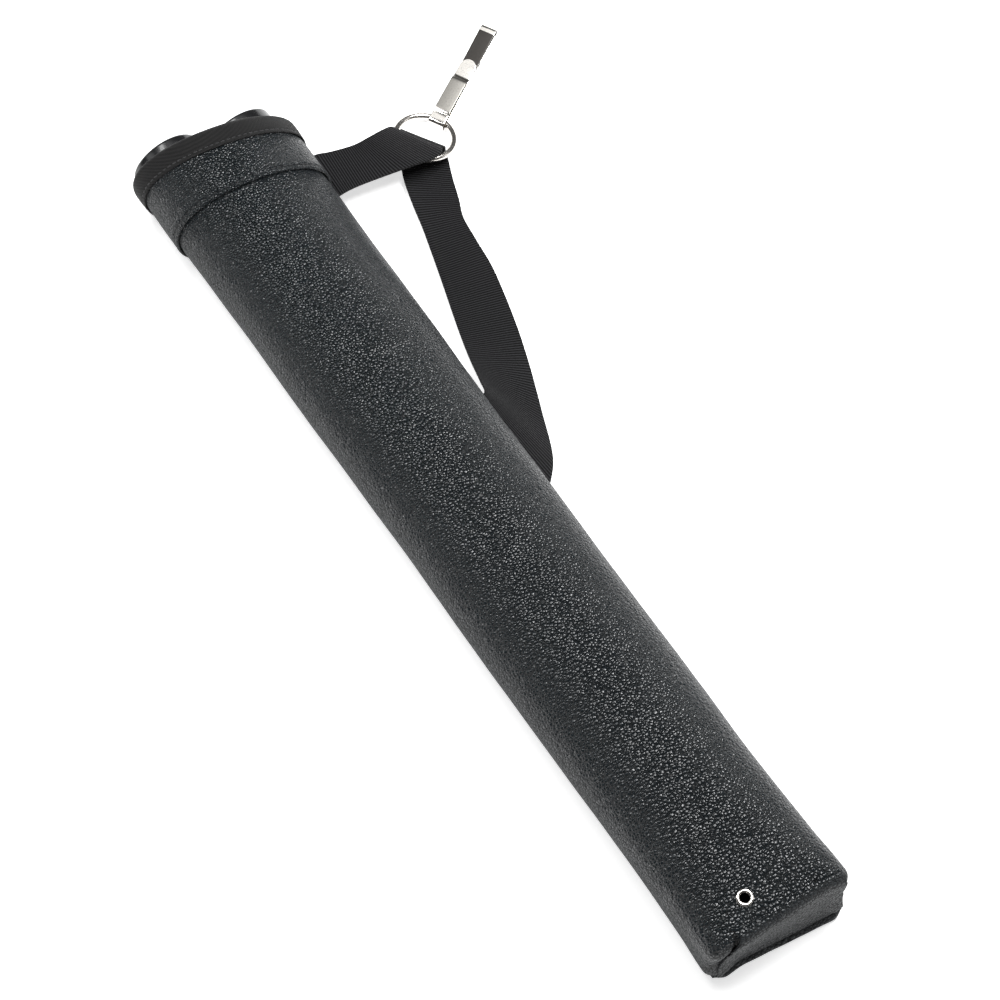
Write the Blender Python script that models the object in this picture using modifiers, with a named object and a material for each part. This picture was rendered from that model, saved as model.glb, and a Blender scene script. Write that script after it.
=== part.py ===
"""Hip arrow quiver: a leather-covered pair of arrow tubes with a webbing strap, ring and belt clip.

The quiver lies on its flat back. +Y runs from the base to the mouth, +Z from the back to the
front panel, +X to the strap side. The origin is on the back face, half way along the body.
"""
import math

import bmesh
import bpy
from mathutils import Matrix, Vector

MM = 0.001

# Body, in millimetres.
AXIS_HEIGHT = 23.0            # widest line of the section, above the flat back
BACK_DEPTH = 24.0             # section depth below the widest line, cut flat at the back
LEATHER = 1.2
GAP = 0.3
RING_POINTS = 48
# (y, half width, rise above the widest line, squareness, height of the back above the rest plane)
STATIONS = (
    (-243.0, 37.2, 19.4, 5.0, 0.0),
    (-236.0, 37.5, 20.2, 4.2, 0.0),
    (-225.0, 37.8, 21.2, 3.4, 0.0),
    (-205.0, 38.0, 22.2, 2.8, 0.0),
    (-180.0, 37.9, 22.9, 2.5, 0.0),
    (-130.0, 38.0, 23.3, 2.35, 0.0),
    (-40.0, 38.4, 23.5, 2.3, 0.0),
    (65.0, 38.2, 23.5, 2.3, 0.0),
    (120.0, 38.7, 23.6, 2.3, 0.0),
    (155.0, 39.1, 23.8, 2.2, 0.6),
    (185.0, 39.4, 24.0, 2.2, 3.0),
    (231.0, 39.5, 24.0, 2.2, 3.0),
)
END_ROUNDING = 5.5

# Mouth: a plane cut that falls to the strap side and rises to the front.
RIM_Y = 231.0
RIM_FALL = 0.15
RIM_RISE = 0.28
SLANT_FROM, SLANT_TO = 100.0, 190.0
CUFF_DROP = 38.7
CUFF_THICKNESS = 1.25
BINDING_DROP = 10.5
BINDING_TUCK = 8.0
BINDING_THICKNESS = 0.85

# Arrow tubes.
TUBE_RADIUS = 16.2
BORE_RADIUS = 15.0
LIP_RADIUS = 18.4
LIP_BEAD = 1.3
TUBE_LENGTH = 477.5
TUBE_LEFT_X, TUBE_LEFT_END = -20.0, 245.5
TUBE_RIGHT_X, TUBE_RIGHT_END = 17.2, 237.5
PAD_THICKNESS = 5.0

# Eyelet through the front panel.
EYELET_X, EYELET_Y = -9.4, -232.2
EYELET_FLANGE, EYELET_BARREL, EYELET_BORE = 4.2, 3.4, 2.75

# Strap, ring and clip.
WEBBING = 1.3
HINGE_X, HINGE_Z = 40.4, 14.0
FOLD_CENTRE = Vector((94.3, 187.8, 8.6))
FOLD_RADIUS = 1.9
FOLD_HALF_LENGTH = 11.6
FOLD_DIRECTION = Vector((0.532, -0.8467, 0.0)).normalized()
FOLD_OUTWARD = Vector((0.8467, 0.532, 0.0)).normalized()
RING_CENTRE = Vector((97.2, 189.6, 7.6))
RING_RADIUS, RING_WIRE = 14.9, 1.6
RING_TILT = math.radians(17.0)
CLIP_START = Vector((106.7, 194.0, 0.0))
CLIP_DIRECTION = Vector((0.868, 0.497, 0.0)).normalized()
CLIP_HALF_WIDTH = 4.05
CLIP_STEEL = 0.9


def smooth_step(value):
    """Ease a value between 0 and 1."""
    value = min(max(value, 0.0), 1.0)
    return value * value * (3.0 - 2.0 * value)


def clear_scene():
    """Remove every object that the file starts with."""
    for item in list(bpy.data.objects):
        bpy.data.objects.remove(item, do_unlink=True)


def make_collection(name):
    """Add a collection to the scene."""
    collection = bpy.data.collections.new(name)
    bpy.context.scene.collection.children.link(collection)
    return collection


def make_material(name, colour, roughness, metallic=0.0):
    """Make one plain Principled material."""
    material = bpy.data.materials.new(name)
    material.use_nodes = True
    shader = material.node_tree.nodes["Principled BSDF"]
    shader.inputs["Base Color"].default_value = (*colour, 1.0)
    shader.inputs["Roughness"].default_value = roughness
    shader.inputs["Metallic"].default_value = metallic
    return material


def make_object(name, mesh, collection, material, smooth=True):
    """Link a mesh as one named piece."""
    piece = bpy.data.objects.new(name, mesh)
    collection.objects.link(piece)
    mesh.materials.append(material)
    for polygon in mesh.polygons:
        polygon.use_smooth = smooth
    return piece


def solidify(piece, thickness, offset):
    """Give an open sheet its thickness: offset -1 inside, 0 centred, 1 outside."""
    modifier = piece.modifiers.new("thickness", "SOLIDIFY")
    modifier.thickness = thickness * MM
    modifier.offset = offset
    modifier.use_even_offset = True


def station_values(y):
    """Half width, rise, squareness and back height of the body at one place along it."""
    if y <= STATIONS[0][0]:
        return STATIONS[0][1:]
    for low, high in zip(STATIONS, STATIONS[1:]):
        if y <= high[0]:
            share = (y - low[0]) / (high[0] - low[0])
            return tuple(a + (b - a) * share for a, b in zip(low[1:], high[1:]))
    return STATIONS[-1][1:]


def body_point(y, angle, offset=0.0):
    """A point on the body's outside at one angle, pushed out by the offset."""
    half_width, rise, squareness, back = station_values(y)
    across, up = math.cos(angle), math.sin(angle)
    power = 2.0 / squareness
    depth = rise if up > 0.0 else BACK_DEPTH
    x = math.copysign(abs(across) ** power, across) * (half_width + offset)
    z = AXIS_HEIGHT + math.copysign(abs(up) ** power, up) * (depth + offset)
    z = max(z, back - offset)
    slant = smooth_step((y - SLANT_FROM) / (SLANT_TO - SLANT_FROM))
    lean = slant * (RIM_RISE * (z - AXIS_HEIGHT) - RIM_FALL * x)
    return Vector((x, y + lean, z))


def body_ring(y, offset=0.0):
    """One closed ring of points around the body."""
    step = 2.0 * math.pi / RING_POINTS
    return [body_point(y, index * step, offset) for index in range(RING_POINTS)]


def front_height(x, y):
    """Height of the front panel's outside above the rest plane."""
    half_width, rise, squareness, _ = station_values(y)
    share = 1.0 - (abs(x) / half_width) ** squareness
    return AXIS_HEIGHT + rise * share ** (1.0 / squareness)


def sheet_mesh(name, rows, closed_rows=False, fill_first=False):
    """Join rows of points into one open sheet, with its normals to the left of the rows."""
    shape = bmesh.new()
    grid = [[shape.verts.new(point * MM) for point in row] for row in rows]
    for low, high in zip(grid, grid[1:]):
        columns = len(low)
        for column in range(columns if closed_rows else columns - 1):
            after = (column + 1) % columns
            shape.faces.new((low[column], high[column], high[after], low[after]))
    if fill_first:
        shape.faces.new(grid[0])
    mesh = bpy.data.meshes.new(name)
    shape.to_mesh(mesh)
    shape.free()
    return mesh


def turned_piece(name, profile, collection, material, steps=48):
    """Turn a closed profile of (radius, height) points about the local Z axis."""
    shape = bmesh.new()
    points = [shape.verts.new((radius * MM, 0.0, height * MM)) for radius, height in profile]
    for index, point in enumerate(points):
        shape.edges.new((point, points[(index + 1) % len(points)]))
    mesh = bpy.data.meshes.new(name)
    shape.to_mesh(mesh)
    shape.free()
    piece = make_object(name, mesh, collection, material)
    screw = piece.modifiers.new("turn", "SCREW")
    screw.angle = 2.0 * math.pi
    screw.steps = steps
    screw.render_steps = steps
    screw.use_merge_vertices = True
    screw.merge_threshold = 0.00001
    screw.use_smooth_shade = True
    return piece


def arc_points(centre, radius, start, end, steps):
    """Points of an arc in a (radius, height) or (along, height) plane, angles in degrees."""
    points = []
    for step in range(steps + 1):
        angle = math.radians(start + (end - start) * step / steps)
        points.append((centre[0] + radius * math.cos(angle), centre[1] + radius * math.sin(angle)))
    return points


def blended_rows(rows, steps):
    """Run a smooth curve through rows of points and return the denser rows."""
    dense = []
    for index in range(len(rows) - 1):
        before = rows[max(index - 1, 0)]
        start, end = rows[index], rows[index + 1]
        after = rows[min(index + 2, len(rows) - 1)]
        for step in range(steps):
            t = step / steps
            row = []
            for p0, p1, p2, p3 in zip(before, start, end, after):
                slope = (p2 - p0) * t + (2.0 * p0 - 5.0 * p1 + 4.0 * p2 - p3) * t * t
                row.append(p1 + 0.5 * (slope + (3.0 * p1 - 3.0 * p2 + p3 - p0) * t * t * t))
            dense.append(row)
    dense.append(rows[-1])
    return dense


# --- body -----------------------------------------------------------------------------------

def eyelet_frame(depth):
    """Place on the front panel's outside at the eyelet, lowered by depth along its normal."""
    step = 4.0
    height = front_height(EYELET_X, EYELET_Y)
    slope = (front_height(EYELET_X, EYELET_Y + step) - front_height(EYELET_X, EYELET_Y - step)) / (2 * step)
    normal = Vector((0.0, -slope, 1.0)).normalized()
    point = (Vector((EYELET_X, EYELET_Y, height)) - normal * depth) * MM
    return Matrix.Translation(point) @ normal.to_track_quat("Z", "X").to_matrix().to_4x4()


def build_cover(collection, cutters, leather):
    """Wrapped leather sleeve, its front panel folded down over the base."""
    rows = []
    for degrees in (90, 70, 45, 20):
        turn = math.radians(degrees)
        drop = END_ROUNDING * math.sin(turn)
        inset = END_ROUNDING * (1.0 - math.cos(turn))
        rows.append([point - Vector((0.0, drop, 0.0)) for point in body_ring(STATIONS[0][0], -inset)])
    rows += [body_ring(station[0]) for station in STATIONS]
    mesh = sheet_mesh("cover", rows, closed_rows=True, fill_first=True)
    cover = make_object("cover", mesh, collection, leather)
    solidify(cover, LEATHER, -1.0)
    bpy.ops.mesh.primitive_cylinder_add(vertices=32, radius=(EYELET_BARREL + GAP) * MM, depth=8 * MM)
    cutter = bpy.context.object
    cutter.name = "eyelet_cutter"
    cutter.matrix_world = eyelet_frame(0.0)
    cutter.hide_render = True
    cutter.display_type = "WIRE"
    for owner in list(cutter.users_collection):
        owner.objects.unlink(cutter)
    cutters.objects.link(cutter)
    hole = cover.modifiers.new("eyelet_hole", "BOOLEAN")
    hole.operation = "DIFFERENCE"
    hole.solver = "EXACT"
    hole.object = cutter
    return cover


def build_cuff(collection, leather):
    """Leather band around the outside of the mouth."""
    levels = (RIM_Y - CUFF_DROP, RIM_Y - 0.6 * CUFF_DROP, RIM_Y - 0.3 * CUFF_DROP, RIM_Y)
    rows = [body_ring(level, GAP) for level in levels]
    cuff = make_object("cuff_band", sheet_mesh("cuff_band", rows, closed_rows=True), collection, leather)
    solidify(cuff, CUFF_THICKNESS, 1.0)
    return cuff


def build_binding(collection, tape):
    """Woven tape folded over the rim, one leg outside the cuff and one inside the cover."""
    outer = GAP + CUFF_THICKNESS + GAP
    inner = -LEATHER - GAP
    middle, reach = 0.5 * (outer + inner), 0.5 * (outer - inner)
    rows = [body_ring(RIM_Y - BINDING_DROP, outer), body_ring(RIM_Y - 0.5 * BINDING_DROP, outer)]
    for degrees in (0, 45, 90, 135, 180):
        turn = math.radians(degrees)
        ring = body_ring(RIM_Y, middle + reach * math.cos(turn))
        rows.append([point + Vector((0.0, GAP + math.sin(turn), 0.0)) for point in ring])
    rows.append(body_ring(RIM_Y - BINDING_TUCK, inner))
    mesh = sheet_mesh("mouth_binding", rows, closed_rows=True)
    binding = make_object("mouth_binding", mesh, collection, tape)
    solidify(binding, BINDING_THICKNESS, 1.0)
    return binding


def build_base_lip(collection, leather):
    """Turned edge of the back panel, under the front panel's flap."""
    bpy.ops.mesh.primitive_cube_add(size=1.0)
    lip = bpy.context.object
    lip.name = "base_lip"
    lip.data.name = "base_lip"
    size = Vector((66.0, 1.9, 4.4))
    lip.data.transform(Matrix.Diagonal((size * MM).to_4d()))
    end_y = STATIONS[0][0] - END_ROUNDING - GAP
    lip.location = Vector((0.0, end_y - 0.5 * size.y, 0.5 * size.z)) * MM
    bevel = lip.modifiers.new("soft_edge", "BEVEL")
    bevel.width = 0.8 * MM
    bevel.segments = 3
    for owner in list(lip.users_collection):
        owner.objects.unlink(lip)
    collection.objects.link(lip)
    lip.data.materials.append(leather)
    return lip


def flank_sheet(name, spans, offset, thickness, collection, material):
    """A strip on the body's flank; each span is (falling angle in degrees, low y, high y)."""
    rows = []
    for angle, low, high in spans:
        steps = 24
        levels = [low + (high - low) * step / steps for step in range(steps + 1)]
        rows.append([body_point(level, math.radians(angle), offset) for level in levels])
    strip = make_object(name, sheet_mesh(name, rows), collection, material)
    solidify(strip, thickness, 1.0)
    return strip


def build_seam_strip(collection, leather):
    """Strip along the back flank away from the strap, over the cover's joined edges."""
    spans = [(angle, -222.0, 178.0) for angle in (-130.0, -135.0, -140.0, -145.0, -150.0)]
    return flank_sheet("back_seam_strip", spans, GAP, 1.1, collection, leather)


def build_strap_ends(collection, webbing):
    """Sewn ends of the strap on the strap-side flank."""
    on_cuff = GAP + CUFF_THICKNESS + GAP
    upper = [(angle, 193.2, 217.8) for angle in (-23.0, -30.0, -37.0, -44.0, -52.0)]
    flank_sheet("strap_end_upper", upper, on_cuff, WEBBING, collection, webbing)
    slide = 6.0
    lower = [(angle, -8.0 - slide * step, 53.0 - slide * step)
             for step, angle in enumerate((-25.0, -32.0, -39.0, -47.0, -55.0))]
    flank_sheet("strap_end_lower", lower, GAP, WEBBING, collection, webbing)


def build_base_pad(collection, foam):
    """Foam pad inside the base that the arrow points land on."""
    low = STATIONS[0][0] - END_ROUNDING + LEATHER + GAP
    inset = LEATHER + 3.6
    curve = bpy.data.curves.new("base_pad", "CURVE")
    curve.dimensions = "2D"
    curve.fill_mode = "BOTH"
    curve.extrude = 0.5 * PAD_THICKNESS * MM
    outline = body_ring(STATIONS[0][0], -inset)
    spline = curve.splines.new("POLY")
    spline.points.add(len(outline) - 1)
    for target, point in zip(spline.points, outline):
        target.co = (point.x * MM, point.z * MM, 0.0, 1.0)
    spline.use_cyclic_u = True
    curve.materials.append(foam)
    pad = bpy.data.objects.new("base_pad", curve)
    collection.objects.link(pad)
    pad.location = (0.0, (low + 0.5 * PAD_THICKNESS) * MM, 0.0)
    pad.rotation_euler = (0.5 * math.pi, 0.0, 0.0)
    return pad


# --- arrow tubes ----------------------------------------------------------------------------

def build_tube(name, x, end_y, collection, plastic):
    """One open arrow tube with a rolled lip, standing along +Y."""
    length = TUBE_LENGTH
    bead_centre = (LIP_RADIUS - LIP_BEAD, length - LIP_BEAD)
    profile = arc_points(bead_centre, LIP_BEAD, 120, -60, 8)
    profile += [(TUBE_RADIUS + 0.5, length - 4.2), (TUBE_RADIUS, length - 6.0), (TUBE_RADIUS, 0.0)]
    profile += [(BORE_RADIUS, 0.0), (BORE_RADIUS, length - 6.0), (BORE_RADIUS + 0.5, length - 3.0)]
    tube = turned_piece(name, profile, collection, plastic)
    tube.rotation_euler = (-0.5 * math.pi, 0.0, 0.0)
    tube.location = Vector((x, end_y - TUBE_LENGTH, AXIS_HEIGHT)) * MM
    return tube


# --- eyelet ---------------------------------------------------------------------------------

def build_eyelet(collection, nickel):
    """Two-part eyelet: flanged barrel from the front, washer inside."""
    top = 0.9
    profile = arc_points((EYELET_FLANGE - 0.5, GAP + 0.3), 0.5, 90, -40, 4)
    profile += [(EYELET_BARREL, GAP), (EYELET_BARREL, -2.3), (EYELET_BARREL + 1.0, -3.0)]
    profile += [(EYELET_BARREL + 0.6, -3.4), (EYELET_BORE, -2.7), (EYELET_BORE, 0.5)]
    profile += [(EYELET_BORE + 0.35, top)]
    barrel = turned_piece("eyelet", profile, collection, nickel, steps=32)
    barrel.matrix_world = eyelet_frame(0.0)
    washer = turned_piece("eyelet_washer", [(5.3, 0.0), (5.3, -0.5), (EYELET_BARREL + GAP, -0.5),
                                            (EYELET_BARREL + GAP, 0.0)], collection, nickel, steps=32)
    washer.matrix_world = eyelet_frame(LEATHER + GAP)


# --- strap, ring and clip -------------------------------------------------------------------

def strap_rows():
    """Edge points of the strap, from its upper end over the fold to its lower end."""
    upper = [
        ((HINGE_X, 210.5, HINGE_Z), (HINGE_X, 183.4, HINGE_Z)),
        ((52.0, 206.0, 14.6), (50.0, 182.6, 14.4)),
        ((63.0, 203.0, 15.0), (66.0, 179.0, 15.0)),
        ((72.0, 201.8, 15.2), (82.0, 176.0, 15.4)),
        ((80.0, 201.2, 14.2), (92.0, 175.2, 14.2)),
        ((85.2, 200.0, 12.5), (97.8, 176.4, 12.7)),
    ]
    rows = [[Vector(left), Vector(right)] for left, right in upper]
    for degrees in (90, 45, 0, -45, -90):
        turn = math.radians(degrees)
        centre = FOLD_CENTRE + FOLD_RADIUS * math.cos(turn) * FOLD_OUTWARD
        centre += Vector((0.0, 0.0, FOLD_RADIUS * math.sin(turn)))
        centre -= FOLD_DIRECTION * 0.9 * degrees / 90.0
        reach = FOLD_DIRECTION * FOLD_HALF_LENGTH
        rows.append([centre - reach, centre + reach])
    lower = [
        ((83.4, 190.0, 4.6), (101.0, 174.8, 3.9)),
        ((77.6, 180.0, 3.8), (97.4, 164.0, 2.2)),
        ((73.0, 165.5, 3.4), (93.2, 153.5, 1.4)),
        ((69.4, 150.3, 3.0), (90.0, 143.5, 1.3)),
        ((65.0, 134.5, 2.4), (88.2, 130.0, 1.3)),
        ((60.4, 118.5, 2.0), (86.2, 112.0, 1.3)),
        ((53.0, 94.0, 2.6), (79.6, 84.5, 1.4)),
        ((48.0, 76.0, 5.2), (72.4, 62.0, 2.0)),
        ((44.4, 63.0, 9.0), (61.6, 34.0, 4.4)),
        ((41.9, 55.8, 12.4), (49.4, 8.0, 9.6)),
        ((HINGE_X, 52.5, HINGE_Z), (HINGE_X, -8.0, HINGE_Z)),
    ]
    rows += [[Vector(left), Vector(right)] for left, right in lower]
    return rows


def build_strap(collection, webbing):
    """One length of webbing, folded on the bias where it passes through the ring."""
    columns = 4
    rows = []
    for left, right in blended_rows(strap_rows(), 4):
        rows.append([left.lerp(right, column / columns) for column in range(columns + 1)])
    strap = make_object("webbing_strap", sheet_mesh("webbing_strap", rows), collection, webbing)
    solidify(strap, WEBBING, 0.0)
    return strap


def build_ring(collection, nickel):
    """Round steel ring, tilted about the strap's fold."""
    bpy.ops.mesh.primitive_torus_add(major_segments=48, minor_segments=12,
                                     major_radius=RING_RADIUS * MM, minor_radius=RING_WIRE * MM)
    ring = bpy.context.object
    ring.name = "strap_ring"
    ring.data.name = "strap_ring"
    lowered = FOLD_OUTWARD * math.cos(RING_TILT) - Vector((0.0, 0.0, math.sin(RING_TILT)))
    facing = FOLD_DIRECTION.cross(lowered)
    turn = Matrix((FOLD_DIRECTION, lowered, facing)).transposed().to_4x4()
    ring.matrix_world = Matrix.Translation(RING_CENTRE * MM) @ turn
    for owner in list(ring.users_collection):
        owner.objects.unlink(ring)
    collection.objects.link(ring)
    ring.data.materials.append(nickel)
    for polygon in ring.data.polygons:
        polygon.use_smooth = True
    return ring


def rounded_path(points, radius, steps=3):
    """Replace each inner corner of a path with a short curve."""
    path = [Vector(points[0])]
    for before, corner, after in zip(points, points[1:], points[2:]):
        before, corner, after = Vector(before), Vector(corner), Vector(after)
        reach_in = min(radius, 0.45 * (corner - before).length)
        reach_out = min(radius, 0.45 * (after - corner).length)
        start = corner + (before - corner).normalized() * reach_in
        end = corner + (after - corner).normalized() * reach_out
        for step in range(steps + 1):
            t = step / steps
            path.append(start.lerp(corner, t).lerp(corner.lerp(end, t), t))
    path.append(Vector(points[-1]))
    return path


def build_clip(collection, steel):
    """Belt clip bent from one strip: tongue, front bar, ring loop, spine, top bend and hook leg."""
    tip = 37.2
    tongue = [(tip - depth, 4.85) for depth in (0.15, 0.6, 1.3, 2.4, CLIP_HALF_WIDTH)]
    bends = [tongue[-1], (28.6, 4.95), (27.2, 6.9), (7.4, 7.1), (6.4, 6.3), (0.2, 6.3), (0.2, 0.95),
             (6.0, 1.0), (27.0, 2.5), (45.0, 4.1), (57.0, 5.2), (61.8, 5.2), (61.8, 0.95),
             (56.0, 0.95), (44.0, 1.1), (36.0, 2.0), (33.0, 1.9), (26.5, 0.95)]
    path = [Vector(point) for point in tongue[:-1]] + rounded_path(bends, 1.7)
    side = Vector((-CLIP_DIRECTION.y, CLIP_DIRECTION.x, 0.0))
    rows = []
    for point in path:
        from_tip = tip - point.x if point.y < 5.0 and point.x > 32.5 and len(rows) < 5 else CLIP_HALF_WIDTH
        missing = CLIP_HALF_WIDTH - min(from_tip, CLIP_HALF_WIDTH)
        half = math.sqrt(CLIP_HALF_WIDTH ** 2 - missing ** 2)
        centre = CLIP_START + CLIP_DIRECTION * point.x + Vector((0.0, 0.0, point.y))
        rows.append([centre + side * half * share for share in (-1.0, -0.33, 0.33, 1.0)])
    clip = make_object("belt_clip", sheet_mesh("belt_clip", rows), collection, steel)
    solidify(clip, CLIP_STEEL, 0.0)
    return clip


def main():
    """Build the whole quiver."""
    clear_scene()
    quiver = make_collection("hip_quiver")
    cutters = make_collection("cutters")
    leather = make_material("black_leather", (0.022, 0.027, 0.03), 0.45)
    tape = make_material("binding_tape", (0.014, 0.014, 0.014), 0.8)
    webbing = make_material("black_webbing", (0.012, 0.012, 0.013), 0.85)
    plastic = make_material("tube_plastic", (0.01, 0.01, 0.011), 0.25)
    foam = make_material("base_foam", (0.03, 0.03, 0.03), 0.95)
    nickel = make_material("nickel_plate", (0.72, 0.7, 0.67), 0.2, 1.0)
    steel = make_material("spring_steel", (0.66, 0.64, 0.61), 0.3, 1.0)
    build_cover(quiver, cutters, leather)
    build_cuff(quiver, leather)
    build_binding(quiver, tape)
    build_base_lip(quiver, leather)
    build_seam_strip(quiver, leather)
    build_base_pad(quiver, foam)
    build_tube("arrow_tube_left", TUBE_LEFT_X, TUBE_LEFT_END, quiver, plastic)
    build_tube("arrow_tube_right", TUBE_RIGHT_X, TUBE_RIGHT_END, quiver, plastic)
    build_eyelet(quiver, nickel)
    build_strap_ends(quiver, webbing)
    build_strap(quiver, webbing)
    build_ring(quiver, nickel)
    build_clip(quiver, steel)


main()
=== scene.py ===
"""Visual model of a hip arrow quiver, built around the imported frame.

The quiver lies on its flat back: +Y runs from the base to the mouth, +Z from the back to the front
panel and +X to the strap side. Sizes in the classes are in millimetres; meshes are in metres.
"""
from __future__ import annotations

import logging
import math
from dataclasses import dataclass, field
from enum import Enum
from typing import Optional, Sequence, Union

import bmesh
import bpy
import numpy as np
from mathutils import Matrix, Vector, noise


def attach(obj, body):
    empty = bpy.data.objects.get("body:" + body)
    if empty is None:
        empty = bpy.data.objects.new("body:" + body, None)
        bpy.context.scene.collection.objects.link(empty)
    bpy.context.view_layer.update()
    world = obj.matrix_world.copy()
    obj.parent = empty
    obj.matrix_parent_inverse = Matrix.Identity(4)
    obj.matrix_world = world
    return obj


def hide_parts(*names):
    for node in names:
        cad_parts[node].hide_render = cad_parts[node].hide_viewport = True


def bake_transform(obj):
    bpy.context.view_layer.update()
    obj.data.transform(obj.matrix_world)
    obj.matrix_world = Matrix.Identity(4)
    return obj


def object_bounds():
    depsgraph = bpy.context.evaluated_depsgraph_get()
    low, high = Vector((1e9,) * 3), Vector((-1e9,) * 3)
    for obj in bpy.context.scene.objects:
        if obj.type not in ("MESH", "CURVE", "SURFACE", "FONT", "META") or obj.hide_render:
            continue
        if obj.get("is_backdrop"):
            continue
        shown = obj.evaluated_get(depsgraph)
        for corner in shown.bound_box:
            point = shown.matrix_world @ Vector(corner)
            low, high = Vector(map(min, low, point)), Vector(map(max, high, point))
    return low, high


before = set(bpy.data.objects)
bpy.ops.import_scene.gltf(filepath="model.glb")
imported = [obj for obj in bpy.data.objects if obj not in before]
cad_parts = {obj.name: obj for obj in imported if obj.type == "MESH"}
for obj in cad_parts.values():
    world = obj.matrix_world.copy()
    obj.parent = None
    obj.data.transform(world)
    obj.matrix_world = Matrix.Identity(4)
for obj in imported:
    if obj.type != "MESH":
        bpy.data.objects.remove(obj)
CAD_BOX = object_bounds()

MM = 0.001
TURN = 2.0 * math.pi
LOG = logging.getLogger("quiver")
Colour = tuple[float, float, float]


class Body(Enum):
    """The moving bodies that a piece can ride on."""

    SHELL = "shell"
    LEFT_TUBE = "left_tube"
    RIGHT_TUBE = "right_tube"
    STRAP = "strap"
    RING = "ring"
    CLIP = "clip"


class Slot(Enum):
    """The record's material slots."""

    LEATHER = "black_leather"
    TAPE = "binding_tape"
    WEBBING = "black_webbing"
    PLASTIC = "tube_plastic"
    FOAM = "base_foam"
    NICKEL = "nickel_plate"
    STEEL = "spring_steel"


# --- node trees -----------------------------------------------------------------------------


@dataclass
class Number:
    """A value in a node tree that can be used in Python expressions."""

    graph: "Graph"
    socket: bpy.types.NodeSocket

    def _with(self, operation: str, first: "Input", second: "Input") -> "Number":
        """Add a Math node on two values."""
        node = self.graph.add(self.graph.math_type, {"operation": operation}, {0: first, 1: second})
        return Number(self.graph, node.outputs[0])

    def __add__(self, other: "Input") -> "Number":
        """Sum."""
        return self._with("ADD", self, other)

    def __radd__(self, other: "Input") -> "Number":
        """Reflected sum."""
        return self._with("ADD", other, self)

    def __sub__(self, other: "Input") -> "Number":
        """Difference."""
        return self._with("SUBTRACT", self, other)

    def __rsub__(self, other: "Input") -> "Number":
        """Reflected difference."""
        return self._with("SUBTRACT", other, self)

    def __mul__(self, other: "Input") -> "Number":
        """Product."""
        return self._with("MULTIPLY", self, other)

    def __rmul__(self, other: "Input") -> "Number":
        """Reflected product."""
        return self._with("MULTIPLY", other, self)

    def __truediv__(self, other: "Input") -> "Number":
        """Quotient."""
        return self._with("DIVIDE", self, other)

    def __pow__(self, other: "Input") -> "Number":
        """Power."""
        return self._with("POWER", self, other)

    def wave(self) -> "Number":
        """Sine of the value, in radians."""
        return self._with("SINE", self, 0.0)

    def eased(self, low: float, high: float) -> "Number":
        """Ease the value from 0 at low to 1 at high.

        Args:
            low: the value that gives 0.
            high: the value that gives 1.

        Returns:
            The eased value.
        """
        settings = {"interpolation_type": "SMOOTHSTEP"}
        inputs = {"Value": self, "From Min": low, "From Max": high}
        node = self.graph.add("ShaderNodeMapRange", settings, inputs)
        return Number(self.graph, node.outputs["Result"])


Input = Union[Number, bpy.types.NodeSocket, float, int, bool, Sequence[float], bpy.types.ID]


class Graph:
    """A node tree that is written as Python calls."""

    math_type = "ShaderNodeMath"

    def __init__(self, tree: bpy.types.NodeTree) -> None:
        """Keep the tree and empty it."""
        self.tree = tree
        tree.nodes.clear()

    def add(
        self, kind: str, settings: Optional[dict] = None, inputs: Optional[dict] = None
    ) -> bpy.types.Node:
        """Add any node.

        Args:
            kind: the node's type name.
            settings: the node's own properties, set before its sockets.
            inputs: values or links for its sockets, by name or index.

        Returns:
            The new node.
        """
        node = self.tree.nodes.new(kind)
        for key, value in (settings or {}).items():
            setattr(node, key, value)
        for key, value in (inputs or {}).items():
            self.feed(node.inputs[key], value)
        return node

    def feed(self, socket: bpy.types.NodeSocket, value: Input) -> None:
        """Link or set one input socket."""
        if isinstance(value, Number):
            value = value.socket
        if isinstance(value, bpy.types.NodeSocket):
            self.tree.links.new(value, socket)
        else:
            socket.default_value = value

    def number(self, node: bpy.types.Node, output: Union[str, int] = 0) -> Number:
        """Wrap one of a node's outputs."""
        return Number(self, node.outputs[output])


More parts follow.
